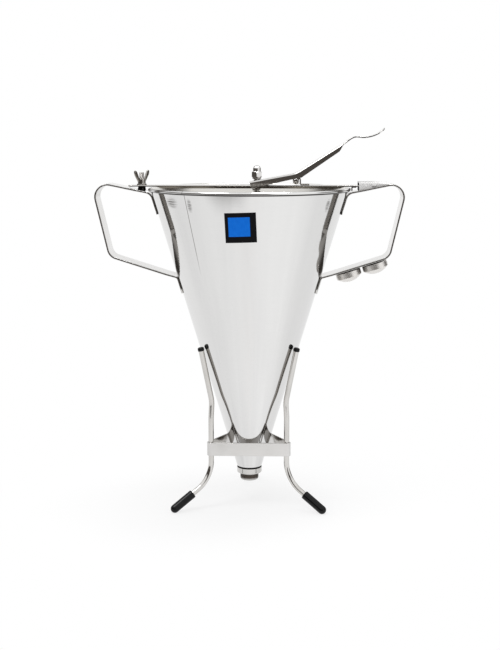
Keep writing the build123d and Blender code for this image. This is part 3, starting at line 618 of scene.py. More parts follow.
label_size, label_across, label_drop, label_film = 30.0, -5.9, 32.0, 0.25
label_tilt = math.radians(2.0)
lengthwise = np.linspace(-label_size / 2, label_size / 2, 31)
label_row = np.concatenate([net(lengthwise, label_film), net(lengthwise[::-1], 0.06)])
a, b = label_row[:, 0], lengthwise[:, None]
arc = label_across + a * math.cos(label_tilt) - b * math.sin(label_tilt)
label_z = rim_height - label_drop + (a * math.sin(label_tilt) + b * math.cos(label_tilt)) \
    * math.cos(cone_angle)
label_r = cone_radius(label_z) + label_row[:, 1]
label_grid = net(label_r * np.sin(arc / label_r), -label_r * np.cos(arc / label_r), label_z)
label = skin("label_on_cone", capped(label_grid))
film, tree, where = fresh("printed label film", Specular_IOR_Level=0.08)
place = apart(tree, where["UV"])
field = product(tree, *(rising(tree, place[axis], low, high) for axis, low, high in (
    (0, 0.32, 0.36), (0, 2.42, 2.38), (1, 1.40, 1.44), (1, 3.38, 3.34))))
fade = noise(tree, where["Object"], 260.0, Detail=3.0)
blue = mixed(tree, fade, (0.0, 0.13, 0.62), (0.004, 0.17, 0.72))
black = mixed(tree, fade, (0.002, 0.002, 0.003), (0.006, 0.006, 0.008))
laid_on(tree, mixed(tree, field, black, blue), rising(tree, fade, 0.0, 1.0, 0.30, 0.46),
        noise(tree, where["Object"], 120.0), 1e-5)
label.data.materials.append(film)
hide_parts("label")
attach(label, "funnel")

# ---- Crossbar ------------------------------------------------------------------------------
# A shallow channel folded from stainless sheet lies across the rim. It has a slot at its left
# end for the clamp stud, a hole near its middle for the rod's bush, and a lug that hooks over
# the bead on the right. Its folds and the lug are painted darker than its top, as painted shade.

bar_width, bar_sheet = 20.0, 1.5
bar_top = rim_height + 4.2
bar_under = bar_top - bar_sheet
bar_left, bar_right = -mouth_radius - 22.2, mouth_radius + 19.6
flange_left, flange_right = 11.8 - mouth_radius, mouth_radius - 9.2
flange_taper, flange_depth = 5.0, 3.2
stud_x, stud_radius, bush_x, bush_radius = -mouth_radius - 9.3, 2.5, 7.2, 4.5


def pierced(piece, grid):
    """The piece with the closed shape of the grid cut out of it."""
    cutter = skin("cutter", grid)
    cut = piece.modifiers.new("cut", "BOOLEAN")
    cut.operation, cut.solver, cut.object = "DIFFERENCE", "EXACT", cutter
    piece.modifiers.move(1, 0)
    bpy.context.view_layer.update()
    shape = bpy.data.meshes.new_from_object(
        piece.evaluated_get(bpy.context.evaluated_depsgraph_get()))
    old, name = piece.data, piece.data.name
    piece.modifiers.remove(cut)
    piece.data = shape
    bpy.data.meshes.remove(old)
    shape.name = name
    bpy.data.objects.remove(cutter)
    return piece


def slot_bar(length, width, low, high):
    """Grid of an upright bar with an oval section, closed at both ends."""
    turn = full_turn(48)
    shift = np.sign(np.cos(turn)) * (length - width) / 2
    return capped(net(shift + width / 2 * np.cos(turn), width / 2 * np.sin(turn),
                      np.array([low, high])[:, None]))


def channel_section(half, deep, sheet, outside, inside, steps):
    """Outline of the section of a sheet folded down on both sides, with its folds rounded by
    one radius outside and another inside."""
    inner = half - sheet
    return bent([(-half, 0), (half, 0), (half, -deep), (inner, -deep), (inner, -sheet),
                 (-inner, -sheet), (-inner, -deep), (-half, -deep)],
                (outside, outside, 0.2, 0.2, inside, inside, 0.2, 0.2), closed=True, steps=steps)


bar_x = np.unique(np.round(np.concatenate([
    bar_left + np.linspace(0, 4, 14), bar_right - np.linspace(0, 4, 14),
    np.linspace(flange_left - flange_taper, flange_left, 8),
    np.linspace(flange_right, flange_right + flange_taper, 8),
    np.linspace(bar_left, bar_right, 60)]), 3))
bar_half = bar_width / 2 - drawn_in(np.minimum(bar_x - bar_left, bar_right - bar_x), 4.0)
fold = np.interp(bar_x, [flange_left - flange_taper, flange_left, flange_right,
                         flange_right + flange_taper],
                 [bar_sheet, flange_depth, flange_depth, bar_sheet])[:, None]
channel = channel_section(bar_width / 2, flange_depth, bar_sheet, 0.7, 0.3, steps=6)
channel = spread_over(np.concatenate([channel, channel[:1]]), 2.0)[:-1]
bar_grid = net(bar_x[:, None], channel[:, 0] * (bar_half / (bar_width / 2))[:, None],
               bar_top + np.maximum(channel[:, 1], -fold))
crossbar = skin("crossbar_channel", capped(bar_grid))
for opening_x, long, wide in ((stud_x, 7.6, 5.6), (bush_x, 9.0, 9.0)):
    pierced(crossbar, slot_bar(long, wide, bar_under - 2, bar_top + 2) + (opening_x, 0, 0))


def bar_marks(tree, face, place):
    """Painted shade: the folds, and all below them, are darker from just under the top of the bar.
    """
    # Painted shade below the top of the bar, on the folds and the lug.
    folded = rising(tree, place[2], (bar_top - 0.6) / 1000, (bar_top - 1.0) / 1000)
    return mixed(tree, folded, face["Color"], (0.30, 0.28, 0.25)), face["Roughness"]


bar_steel = steel("brushed bar steel", (0.70, 0.685, 0.665), (0.58, 0.56, 0.535),
                  0.05, 0.04, (60.0, 0.6, 1.0), 6e-7, marks=bar_marks)
crossbar.data.materials.append(bar_steel)
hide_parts("crossbar")
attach(crossbar, "funnel")
lug_x = mouth_radius + 2 * bead_radius - cone_wall + 0.4
lug_line = bent([(lug_x + 5.0, 0, bar_under - 0.6), (lug_x + 0.6, 0, bar_under - 0.6),
                 (lug_x + 0.6, 0, bar_under - 4.2)], 0.7, steps=8)
bar_lug = skin("crossbar_lug", capped(carried(lug_line, bar_section(1.2, 8.0, 0.25), sideways)))
bar_lug.data.materials.append(bar_steel)
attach(bar_lug, "funnel")

# ---- Bar socket ----------------------------------------------------------------------------
# A hood folded from stainless sheet is welded on the right handle. The bar's right end slides
# under it, and an oval opening in each side shows whether it is home.

strap_slope = (upper_corner[2] - upper_bend[2]) / (upper_corner[0] - upper_bend[0])
strap_cos = math.cos(math.atan(strap_slope))


def strap_top(x):
    """Height of the top of either handle's upper run at a distance from the axis."""
    return upper_bend[2] + (np.abs(x) - upper_bend[0]) * strap_slope + strap_sheet / 2 / strap_cos


hood_left, hood_sheet = mouth_radius + 10.1, 1.2
hood_flat, hood_right = hood_left + 18.5, hood_left + 30.5
hood_top, hood_outer, hood_skirt = bar_top + 3.4, bar_width / 2 + 0.5 + hood_sheet, 12
hood_x = np.concatenate([np.linspace(hood_left, hood_flat - 2, 10), np.linspace(
    hood_flat - 1.5, hood_flat + 1.5, 7), np.linspace(hood_flat + 2, hood_right, 16)])
roof = np.interp(hood_x, [hood_left, hood_flat, hood_right],
                 [hood_top, hood_top, strap_top(hood_right) + hood_sheet])
roof = np.where(np.abs(hood_x - hood_flat) < 1.6,
                roof - 0.12 * (1 - (hood_x - hood_flat)**2 / 2.56), roof)
hood_line = channel_section(hood_outer, hood_skirt, hood_sheet, 1.9, 0.8, steps=8)
hood_grid = net(hood_x[:, None], hood_line[:, 0],
                np.maximum(roof[:, None] + hood_line[:, 1], strap_top(hood_x)[:, None]))
socket = skin("bar_socket_hood", capped(hood_grid))


def laid_over(grid):
    """The grid turned over so that its own Z axis lies along Y."""
    return grid[..., [0, 2, 1]]


window = laid_over(slot_bar(4.6, 1.8, -14.0, 14.0))
window_x = hood_left + 15.0
pierced(socket, window + (window_x, 0, (strap_top(window_x) + hood_top) / 2))
socket_steel = steel("blasted socket steel", (0.90, 0.895, 0.885), (0.80, 0.795, 0.785),
                     0.45, 0.06, (40.0, 1.5, 1.0), 5e-7, metal=0.15)
socket.data.materials.append(socket_steel)
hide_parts("bar_socket")
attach(socket, "funnel")

# ---- Clamp stud, spacer, washer and wing nut -----------------------------------------------
# A threaded stud is welded on the left handle. The bar rests on a black rubber spacer round it
# and is held down by a washer and a pressed wing nut.

stud_top = bar_top + 12.5
stud_low = float(strap_top(stud_x)) - 1.2
stud_pitch, stud_thread_depth = 0.8, 0.3
stud_grid = threaded_bar(stud_low, stud_top, stud_radius, stud_pitch, stud_thread_depth, 64) \
    + (stud_x, 0, 0)
stud_grid[..., 2] = np.maximum(stud_grid[..., 2], strap_top(stud_grid[..., 0]))
stud = skin("clamp_stud_thread", stud_grid)
stud_steel = steel("stud steel", (0.62, 0.60, 0.58), (0.45, 0.43, 0.41), 0.2, 0.1,
                   (0.5, 50.0, 1.0), 2e-6)
stud.data.materials.append(stud_steel)
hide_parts("clamp_stud")
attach(stud, "funnel")

spacer_bore, spacer_foot = stud_radius + 0.05, bar_under - 4.2
spacer_line = bent([(spacer_bore, bar_under), (3.7, bar_under), (4.3, spacer_foot),
                    (spacer_bore, spacer_foot)], 0.3, closed=True, steps=4)
spacer_grid = turned(spacer_line, 64) + (stud_x, 0, 0)
spacer_grid[..., 2] = np.maximum(spacer_grid[..., 2], strap_top(spacer_grid[..., 0]))
spacer = skin("clamp_spacer_rubber", spacer_grid, along=True)
spacer.data.materials.append(rubber("clamp spacer rubber", 1500.0, 2e-6, 0.5))
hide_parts("clamp_spacer")
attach(spacer, "funnel")

nut_bore, washer_radius, washer_sheet = stud_radius + 0.08, 5.0, 0.98
washer_line = bent([(nut_bore, 0), (washer_radius, 0), (washer_radius, washer_sheet),
                    (nut_bore, washer_sheet)], 0.2, closed=True, steps=4)
washer = skin("clamp_washer_ring", turned(washer_line, 72) + (stud_x, 0, bar_top), along=True)
washer.data.materials.append(stud_steel)
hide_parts("clamp_washer")
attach(washer, "clamp_washer")

hub_bottom, hub_radius, hub_height = bar_top + 1.0, 4.1, 5.2
wing_turn, wing_sheet = math.radians(58), 2.0
hub_line = bent([(nut_bore, 0), (hub_radius, 0), (hub_radius - 0.35, hub_height),
                 (nut_bore, hub_height)], (0.4, 0.4, 0.7, 0.3), closed=True, steps=5)
wing_nut = skin("wing_nut_hub", turned(hub_line, 72) + (stud_x, 0, hub_bottom), along=True)
wing_steel = steel("cast wing nut steel", (0.46, 0.44, 0.41), (0.27, 0.255, 0.235), 0.14, 0.10,
                   (14.0, 14.0, 1.0), 6e-6)
wing_nut.data.materials.append(wing_steel)
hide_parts("wing_nut")
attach(wing_nut, "wing_nut")
share = np.linspace(0, 1, 40)
# Each wing runs between a lower and an upper edge, bulges between them and closes at its tip.
under = bent([(2.6, 1.0), (5.2, 1.5), (11.0, 8.8), (12.5, 12.6)], (3.0, 5.0), steps=9)
over = bent([(2.6, 4.6), (4.3, 5.0), (7.8, 12.4), (10.9, 14.2)], (2.5, 3.0), steps=9)
low_edge, high_edge = (
    net(*(np.interp(share, far_along(edge) / far_along(edge)[-1], column) for column in edge.T))
    for edge in (under, over))
closing = np.sqrt(np.clip(1 - ((share - 0.8) / 0.2).clip(0)**2, 0, 1))[:, None]
turn = full_turn(36)
span = np.sign(np.cos(turn)) * np.abs(np.cos(turn))**0.55
swell = np.sign(np.sin(turn)) * np.abs(np.sin(turn))**0.75
centre_line, half_span = (low_edge + high_edge) / 2, (high_edge - low_edge) / 2 * closing
flat = centre_line[:, None] + half_span[:, None] * span[None, :, None]
thick = (1.15 - 0.35 * share)[:, None] * wing_sheet / 2 * closing * swell
for side in (1, -1):
    out = side * flat[..., 0]
    wing_grid = net(stud_x + out * math.cos(wing_turn) + thick * math.sin(wing_turn),
                    out * math.sin(wing_turn) - thick * math.cos(wing_turn),
                    hub_bottom + flat[..., 1])
    wing = skin("wing_nut_wing_" + ("right" if side > 0 else "left"), capped(wing_grid))
    wing.data.materials.append(wing_steel)
    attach(wing, "wing_nut")

# ---- Guide bush ----------------------------------------------------------------------------
# A white plastic bush is pushed through the bar from below and staked over above it. The rod
# slides in its slightly leaning bore.

seat_bottom = socket_floor - (ferrule_bore - spout_bore)
ball_height = outlet_height + seat_bottom - spout_bore + 6.1 * math.sqrt(2)
rod_way = unit(np.array([bush_x, 0.0, bar_top - bar_sheet / 2 - ball_height]))
ball_centre = np.array([0.0, 0.0, ball_height])


def along_rod(height):
    """Distance along the rod, from the ball's centre, to a height above the table."""
    return (height - ball_height) / rod_way[2]


bush_bore, bush_head, bush_head_height, bush_rise = 3.08, 6.0, 1.5, 0.7
bush_foot = bar_under - bush_head_height
bush_line = bent([(bush_bore, bush_foot), (bush_head, bush_foot), (bush_head, bar_under),
                  (bush_radius, bar_under), (bush_radius, bar_top + bush_rise),
                  (bush_bore, bar_top + bush_rise)],
                 (0.2, 0.35, 0.2, 0.1, 0.35, 0.2), closed=True, steps=4)
bush_grid = turned(bush_line, 80)
leaning = bush_line[:, 0] < 3.5
bush_grid[leaning, :, 0] += (bush_grid[leaning, :, 2] - bar_top + bar_sheet / 2) \
    * rod_way[0] / rod_way[2]
bush = skin("guide_bush_turned", bush_grid + (bush_x, 0, 0), along=True)
plastic, tree, where = fresh("bush plastic", Subsurface_Weight=0.15,
                             Subsurface_Radius=(0.002, 0.002, 0.002))
cloud = noise(tree, where["Object"], 420.0, Detail=3.0)
laid_on(tree, mixed(tree, cloud, (0.72, 0.71, 0.67), (0.60, 0.58, 0.53)),
        rising(tree, cloud, 0.0, 1.0, 0.38, 0.55), cloud, 8e-6)
bush.data.materials.append(plastic)
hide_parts("guide_bush")
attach(bush, "funnel")

# ---- Piston rod, ball tip, spring collar and cross pin -------------------------------------
# The rod is ground stainless bar. A turned ball tip is fixed on its lower end and closes the
# nozzle, and a collar held by a cross pin carries the foot of the return spring.

rod_radius, ball_radius, neck_radius, neck_length = 3.0, 6.0, 4.4, 11.0
heel, bend = (0.3, 3.6), (47.2, 12.3)
lever_slope = (bend[1] - heel[1]) / (bend[0] - heel[0])
spacer_start = along_rod(bar_top + heel[1] + (bush_x + 4.4 - heel[0]) * lever_slope + 0.35)
nut_start = spacer_start + 1.6
rod_end = nut_start + 8.5
spring_top = bush_foot - 0.15
spring_length, rest_radius, rest_height = 34.0, 6.4, 3.0
spring_foot = along_rod(spring_top - spring_length)
collar_start = spring_foot - rest_height
rod_line = bent([(0, ball_radius / 2), (rod_radius, ball_radius / 2), (rod_radius, rod_end),
                 (0, rod_end)], (0.3, 0.8), steps=5)
rod = skin("piston_rod_ground", placed(turned(spread_over(rod_line, 20.0), 64), ball_centre,
                                       rod_way))
rod_steel = steel("ground rod steel", (0.72, 0.71, 0.70), (0.60, 0.59, 0.575), 0.08, 0.06,
                  (0.5, 30.0, 1.0), 1.5e-6)
rod.data.materials.append(rod_steel)
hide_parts("piston_rod")
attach(rod, "rod")

ball_turn = np.linspace(0, math.pi - math.asin(neck_radius / ball_radius), 40)
ball = net(ball_radius * np.sin(ball_turn), -ball_radius * np.cos(ball_turn))
neck = bent([ball[-1], (neck_radius, neck_length), (rod_radius, neck_length), (rod_radius, 3.0),
             (0, 3.0)], (0.8, 0.1, 0.3), steps=5)
tip = skin("valve_tip_turned", placed(turned(np.concatenate([ball, neck[1:]]), 96), ball_centre,
                                      rod_way))
tip.data.materials.append(rod_steel)
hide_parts("valve_tip")
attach(tip, "rod")

collar_line = bent([(rod_radius, 0), (rest_radius, 0), (rest_radius, rest_height),
                    (rod_radius, rest_height)], (0.1, 0.4, 0.4, 0.1), closed=True, steps=5)
collar_grid = turned(collar_line, 80) + (0, 0, collar_start)
collar = skin("spring_collar_turned", placed(collar_grid, ball_centre, rod_way), along=True)
collar.data.materials.append(nozzle_steel)
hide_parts("spring_collar")
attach(collar, "rod")

pin_middle = ball_centre + rod_way * (collar_start + rest_height / 2)
pin_line = bent([(0, -7.2), (0.8, -7.2), (0.8, 7.2), (0, 7.2)], 0.25, steps=5)
cross_pin = skin("collar_cross_pin", laid_over(turned(pin_line, 32)) + pin_middle)
cross_pin.data.materials.append(rod_steel)
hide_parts("collar_pin")
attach(cross_pin, "rod")

# ---- Return spring -------------------------------------------------------------------------
# The spring is coiled from hard stainless wire, with its end turns closed. It pushes the rod
# down from the bush on to the nozzle's seat, and shortens as the lever lifts the rod.

wire_radius, coil_radius, coil_turns = 0.45, 3.8, 10.5
coil_low = spring_foot + 0.15 + wire_radius
coil_high = along_rod(spring_top) - 0.15 - wire_radius
coil_share = np.linspace(0, 1, 620)
closed_up = np.interp(coil_share, [0, 0.085, 0.915, 1], [0, 0.028, 0.972, 1])
coil_angle = coil_share * coil_turns * 2 * np.pi
outward = net(np.cos(coil_angle), np.sin(coil_angle), 0.0)
coil = coil_radius * outward + net(0.0, 0.0, coil_low + (coil_high - coil_low) * closed_up)
coil_up = unit(np.cross(outward, np.gradient(coil, axis=0)))
wire_turn = full_turn(14)[:, None]
coil_grid = coil[:, None] + wire_radius * (np.cos(wire_turn) * outward[:, None]
                                           + np.sin(wire_turn) * coil_up[:, None])
spring = skin("return_spring_coil", placed(capped(coil_grid), ball_centre, rod_way))
spring.data.materials.append(steel("spring wire steel", (0.60, 0.59, 0.57), (0.44, 0.43, 0.41),
                                   0.18, 0.08, (20.0, 0.8, 1.0), 1.5e-6))
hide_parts("return_spring")
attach(spring, "funnel")
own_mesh(spring)

# ---- Nut spacer and cap nut ----------------------------------------------------------------
# A spacer and a bright acorn nut on the rod's threaded top are what the lever lifts.

spacer_ring = bent([(rod_radius, 0), (4.4, 0), (4.4, 1.6), (rod_radius, 1.6)], 0.2, closed=True,
                   steps=4)
nut_spacer = skin("nut_spacer_ring", placed(turned(spacer_ring, 64) + (0, 0, spacer_start),
                                            ball_centre, rod_way), along=True)
nut_spacer.data.materials.append(stud_steel)
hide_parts("nut_spacer")
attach(nut_spacer, "rod")

flat_half, hex_height, dome_radius, dome_top = 5.0, 5.6, 4.1, 11.8
turn = full_turn(144)
hex_radius = flat_half / np.cos((turn + np.pi / 6) % (np.pi / 3) - np.pi / 6)
corner_cut, corner_slope = 0.9, 1.4
nut_heights = np.concatenate([[0, 0], np.linspace(0, corner_cut, 7), np.linspace(1.0, 4.6, 8),
                              np.linspace(4.7, hex_height, 8)])
nut_limit = np.concatenate([[rod_radius, 4.2], 4.9 + np.linspace(0, corner_cut, 7) * corner_slope,
                            np.full(8, 9.0), 6.16 - np.linspace(0, corner_cut, 8) * corner_slope])
hexagon = np.minimum(hex_radius[None], nut_limit[:, None])
dome_line = bent([(dome_radius + 0.25, hex_height), (dome_radius, hex_height + 0.4),
                  (dome_radius, hex_height + 2.7), (dome_radius - 0.02, hex_height + 2.75)],
                 (0.2, 0.5), steps=4)
crown_turn = np.linspace(0, np.pi / 2, 18)
crown = net(dome_radius * np.cos(crown_turn), dome_top - 3.4 + 3.4 * np.sin(crown_turn))
dome_line = np.concatenate([dome_line[:-1], crown])
hex_grid = net(hexagon * np.cos(turn), hexagon * np.sin(turn), nut_heights[:, None])
inside_line = np.array([(0, 8.5), (rod_radius, 8.5), (rod_radius, 0.0)])
nut_grid = np.concatenate([turned(inside_line, 144), hex_grid[1:], turned(dome_line, 144)])
cap_nut = skin("cap_nut_polished", placed(nut_grid + (0, 0, nut_start), ball_centre, rod_way),
               sharp=28.0)
nut_steel = steel("polished cap nut steel", (0.78, 0.77, 0.755), (0.70, 0.685, 0.67), 0.05, 0.03,
                  (6.0, 6.0, 1.0), 1e-6)
cap_nut.data.materials.append(nut_steel)
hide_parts("cap_nut")
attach(cap_nut, "rod")

# ---- Lever ---------------------------------------------------------------------------------
# The lever is folded from one stainless sheet: a web with two side walls, and a thumb tongue
# that curls up at its end. The rod passes through a slot near its heel.

lever_width, lever_sheet = 24.0, 1.2
shoulder, crest, dip, tongue_tip = (94.9, 42.2), (104.5, 48.2), (114.4, 48.0), (135.3, 57.3)
pivot_x, pivot_rise, ear_radius = 46.9, 4.1, 3.0


def through(knots, slopes, x):
    """Smooth curve through the knots: on each span the cubic that meets both its points with
    their slopes."""
    knots, slopes = np.asarray(knots, float), np.asarray(slopes, float)
    k = np.clip(np.searchsorted(knots[:, 0], x, side="right") - 1, 0, len(knots) - 2)
    span = knots[k + 1, 0] - knots[k, 0]
    t = (x - knots[k, 0]) / span
    return ((2 * t**3 - 3 * t**2 + 1) * knots[k, 1] + (t**3 - 2 * t**2 + t) * span * slopes[k]
            + (3 * t**2 - 2 * t**3) * knots[k + 1, 1] + (t**3 - t**2) * span * slopes[k + 1])


arm_slope = (shoulder[1] - bend[1]) / (shoulder[0] - bend[0])
lever_x = np.unique(np.round(np.concatenate([
    heel[0] + np.linspace(0, 2.4, 10), np.linspace(heel[0], tongue_tip[0], 120),
    np.linspace(bend[0] - 4, bend[0] + 4, 17), np.linspace(pivot_x - 3.2, pivot_x + 3.2, 28),
    tongue_tip[0] - 7 * (1 - np.cos(np.linspace(0, np.pi / 2, 22)))]), 3))
web = np.where(lever_x < shoulder[0], np.interp(lever_x, *zip(heel, bend, shoulder)),
               through([shoulder, crest, dip, tongue_tip],
                       [arm_slope * 1.12, 0.30, 0.06, math.tan(math.radians(45))], lever_x))
near_bend = np.clip(1 - np.abs(lever_x - bend[0]) / 4, 0, 1)
web = web + near_bend**2 * (arm_slope - lever_slope)
gradient = np.gradient(web, lever_x)
web_half = lever_sheet / 2 * np.hypot(1, gradient)
underside = np.interp(lever_x, *zip((heel[0], -3.6), (43.1, 6.0), (52.2, 7.6), (90.4, 33.8),
                                    (shoulder[0], shoulder[1]), (tongue_tip[0], 200.0)))
ear = pivot_rise - np.sqrt(np.clip(ear_radius**2 - (lever_x - pivot_x)**2, 0, None))
underside = np.where(np.abs(lever_x - pivot_x) < ear_radius, np.minimum(underside, ear), underside)
underside = underside + drawn_in(lever_x - heel[0], 2.2)
underside = np.minimum(underside, web - 2 * web_half)
lever_wall = lever_width / 2
fold_line, strip_line = (channel_section(lever_wall, 24, lever_sheet, edge, 0.5, steps=7)
                         for edge in (1.6, 0.2))
becoming = np.clip((lever_x - shoulder[0] + 5) / 8, 0, 1)[:, None, None]
fold_line = fold_line * (1 - becoming) + strip_line * becoming
lever_half = np.interp(lever_x, [shoulder[0] - 3, shoulder[0] + 3], [lever_wall, 11.0]) \
    - drawn_in(tongue_tip[0] - lever_x, 7.0)
steep = np.where(fold_line[..., 1] > -lever_sheet - 0.6, (2 * web_half / lever_sheet)[:, None], 1.0)
lever_z = np.maximum(web[:, None] + fold_line[..., 1] * steep, underside[:, None])
slant = np.clip(1 - (lever_x - heel[0]) / 14, 0, 1)[:, None] * (web[:, None] - lever_z) * 0.25
lever_grid = net(lever_x[:, None] + slant,
                 fold_line[..., 0] * (np.maximum(lever_half, 0.3) / lever_wall)[:, None],
                 bar_top + lever_z)
lever = skin("lever_folded", capped(lever_grid))
pierced(lever, slot_bar(8.8, 6.7, bar_top + 0.5, bar_top + 12.3) + (bush_x + lever_slope, 0, 0))
lever_steel = steel("polished lever steel", (0.73, 0.72, 0.705), (0.62, 0.605, 0.585), 0.06, 0.04,
                    (50.0, 0.6, 1.0), 1e-6)
lever.data.materials.append(lever_steel)
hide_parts("lever")
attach(lever, "lever")

# ---- Pivot bracket and pin -----------------------------------------------------------------
# A strip welded on the bar is curled round a headed pin, and the lever's side walls turn on
# the pin's ends.

pivot_z, pin_radius, bracket_sheet, post_x = bar_top + pivot_rise, 1.6, 1.5, 51.4
curl_turn = np.linspace(np.pi / 2, 2 * np.pi - 0.35, 26)
curl_radius = pin_radius + bracket_sheet / 2
curl_line = net(pivot_x + curl_radius * np.cos(curl_turn), 0.0,
                pivot_z + curl_radius * np.sin(curl_turn))
strip_z = bar_top + bracket_sheet / 2
post_line = bent([(post_x + 9.0, 0, strip_z), (post_x, 0, strip_z),
                  (post_x, 0, pivot_z + curl_radius), curl_line[0]], (1.2, 1.0), steps=8)
bracket = skin("pivot_bracket_strip",
               capped(carried(np.concatenate([post_line, curl_line[1:]]),
                              bar_section(bracket_sheet - 0.04, 12.0, 0.3), sideways)))
bracket.data.materials.append(bar_steel)
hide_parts("pivot_bracket")
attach(bracket, "funnel")
pin_half, pin_head = lever_width / 2 + 0.25, 2.6
pin_end = pin_half + 0.8
pin_line = bent([(0, -pin_end), (pin_head, -pin_end), (pin_head, -pin_half),
                 (pin_radius, -pin_half), (pin_radius, pin_half), (pin_head, pin_half),
                 (pin_head, pin_end), (0, pin_end)], (0.6, 0.1, 0.1, 0.1, 0.1, 0.6), steps=6)
pivot_pin = skin("pivot_pin_headed", laid_over(turned(pin_line, 64)) + (pivot_x, 0, pivot_z))
pivot_pin.data.materials.append(rod_steel)
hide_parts("pivot_pin")
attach(pivot_pin, "funnel")

# ---- Stand legs ----------------------------------------------------------------------------
# Three legs are bent from drawn stainless wire. Their tops lean outwards with the cone, they
# stand in the corners of the band, and their feet splay out.

leg_angles = {"front_left": 210, "front_right": 330, "back": 90}
leg_radius, leg_top_height, neck_height, ring_top = 2.8, 168.0, 112.0, 94.0
band_bottom, band_height, band_sheet = 55.2, 14.0, 1.4
ring_radius = 2 * (cone_radius(band_bottom + band_height) + 3.1 - leg_radius)
cap_top_height = leg_top_height + 1.3
leg_top = np.array([cone_radius(cap_top_height) + 3.6 / math.cos(cone_angle), 0, leg_top_height])
leg_neck = np.array([cone_radius(neck_height) + 6.05 + leg_radius, 0, neck_height])
splay = math.radians(32)
foot_way = np.array([math.cos(splay), 0, -math.sin(splay)])
foot_radius, foot_length = 4.4, 28.5
foot_end = np.array([90.6, 0, foot_radius * (1 + foot_way[2]) - 0.4])
knee = foot_end + foot_way * (ring_radius - foot_end[0]) / foot_way[0]
wire_end = foot_end - foot_way * 3.0
leg_line = spread_over(bent([leg_top, leg_neck, (ring_radius, 0, ring_top), knee, wire_end],
                            (35.0, 60.0, 34.0), steps=26), 6.0)
wire_turn = full_turn(36)
wire_section = leg_radius * net(np.cos(wire_turn), np.sin(wire_turn))
leg_grid = capped(carried(leg_line, wire_section, sideways))
leg_steel = steel("drawn leg steel", (0.72, 0.705, 0.685), (0.60, 0.585, 0.56), 0.07, 0.05,
                  (40.0, 0.5, 1.0), 1e-6)


def swung(grid, degrees):
    """The grid turned about the Z axis."""
    c, s = np.cos(np.radians(degrees)), np.sin(np.radians(degrees))
    return grid @ np.array([(c, s, 0), (-s, c, 0), (0, 0, 1)])


for place, degrees in leg_angles.items():
    leg = skin(f"leg_{place}_wire", swung(leg_grid, degrees))
    leg.data.materials.append(leg_steel)
    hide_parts(f"leg_{place}")
    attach(leg, "stand")

# ---- Rubber feet and leg caps --------------------------------------------------------------
# Glossy black rubber sleeves are pushed on both ends of each leg. The feet are worn flat where
# they stand, and the cone leans on the caps.

foot_line = bent([(0, foot_length), (foot_radius, foot_length), (foot_radius, 0),
                  (leg_radius, 0), (leg_radius, foot_length - 3.0), (0, foot_length - 3.0)],
                 (foot_radius - 0.01, 0.5, 0.3, 0.2), steps=14)
foot_grid = placed(turned(spread_over(foot_line, 1.5), 72), foot_end - foot_way * foot_length,
                   foot_way)
foot_grid[..., 2] = np.maximum(foot_grid[..., 2], 0)
foot_rubber = rubber("glossy foot rubber", 900.0, 1e-6, 0.25)
lean = unit(leg_top - leg_neck)
cap_line = bent([(0, 1.3), (3.3, 1.3), (3.3, -2.1), (leg_radius, -2.1), (leg_radius, 0), (0, 0)],
                (1.25, 0.25, 0.1, 0.1), steps=8)
cap_grid = placed(turned(cap_line, 64), leg_top, lean)
for place, degrees in leg_angles.items():
    foot = skin(f"foot_{place}_sleeve", swung(foot_grid, degrees))
    cap = skin(f"leg_cap_{place}_sleeve", swung(cap_grid, degrees))
    for sleeve, stands_for in ((foot, f"foot_{place}"), (cap, f"leg_cap_{place}")):
        sleeve.data.materials.append(foot_rubber)
        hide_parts(stands_for)
        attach(sleeve, "stand")

# ---- Stand band ----------------------------------------------------------------------------
# A strip of stainless sheet is bent round the three legs into a triangle with rounded corners
# and welded to each leg.

corner_angle = np.radians(list(leg_angles.values()))
band_corners = (2 * (leg_radius + band_sheet / 2) + ring_radius) * net(
    np.cos(corner_angle), np.sin(corner_angle), 0.0)
band_line = bent(band_corners + (0, 0, band_bottom + band_height / 2), leg_radius + band_sheet / 2,
                 closed=True, steps=16)
band_line = spread_over(np.concatenate([band_line, band_line[:1]]), 4.0)[:-1]
band_grid = carried(band_line, bar_section(band_sheet, band_height, 0.3, 4), (0.0, 0.0, 1.0),
                    closed=True)
band = skin("stand_band_strip", band_grid, along=True)
band.data.materials.append(steel("brushed band steel", (0.73, 0.72, 0.71), (0.63, 0.62, 0.605),
                                 0.10, 0.06, (45.0, 0.5, 1.0), 2e-6))
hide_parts("stand_band")
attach(band, "stand")

# ---- Floor ---------------------------------------------------------------------------------
# A pale matt table top, a little brighter to the camera and in reflections than it is lit.
# In reflections it is painted darker in some directions round the object, and past a
# slanting front edge it is painted as the dark room beyond.

floor_turn = full_turn(96)
floor_reach = np.linspace(0, 1, 40)[:, None]**2 \
    * (1500.0 + 3500.0 * np.clip(np.sin(floor_turn) + 0.35, 0, 1))
floor_points = net(floor_reach * np.cos(floor_turn), floor_reach * np.sin(floor_turn), -0.05)
floor = skin("floor", floor_points)
floor.modifiers.clear()
pale, tree, where = fresh("pale floor", Base_Color=(0.98, 0.98, 0.985, 1), Roughness=0.6,
                          Specular_IOR_Level=0.1)
far_off = rising(tree, vectors(tree, "LENGTH", where["Object"]), 0.02, 0.27, 0.72, 1.0,
                 "SMOOTHSTEP")
rays = node(tree, "ShaderNodeLightPath").outputs
seen = reckoned(tree, "MAXIMUM", rays["Is Camera Ray"], rays["Is Glossy Ray"])
across, ahead, _ = apart(tree, where["Object"])
round_share = rising(tree, reckoned(tree, "ARCTAN2", across, ahead), -math.pi, math.pi)
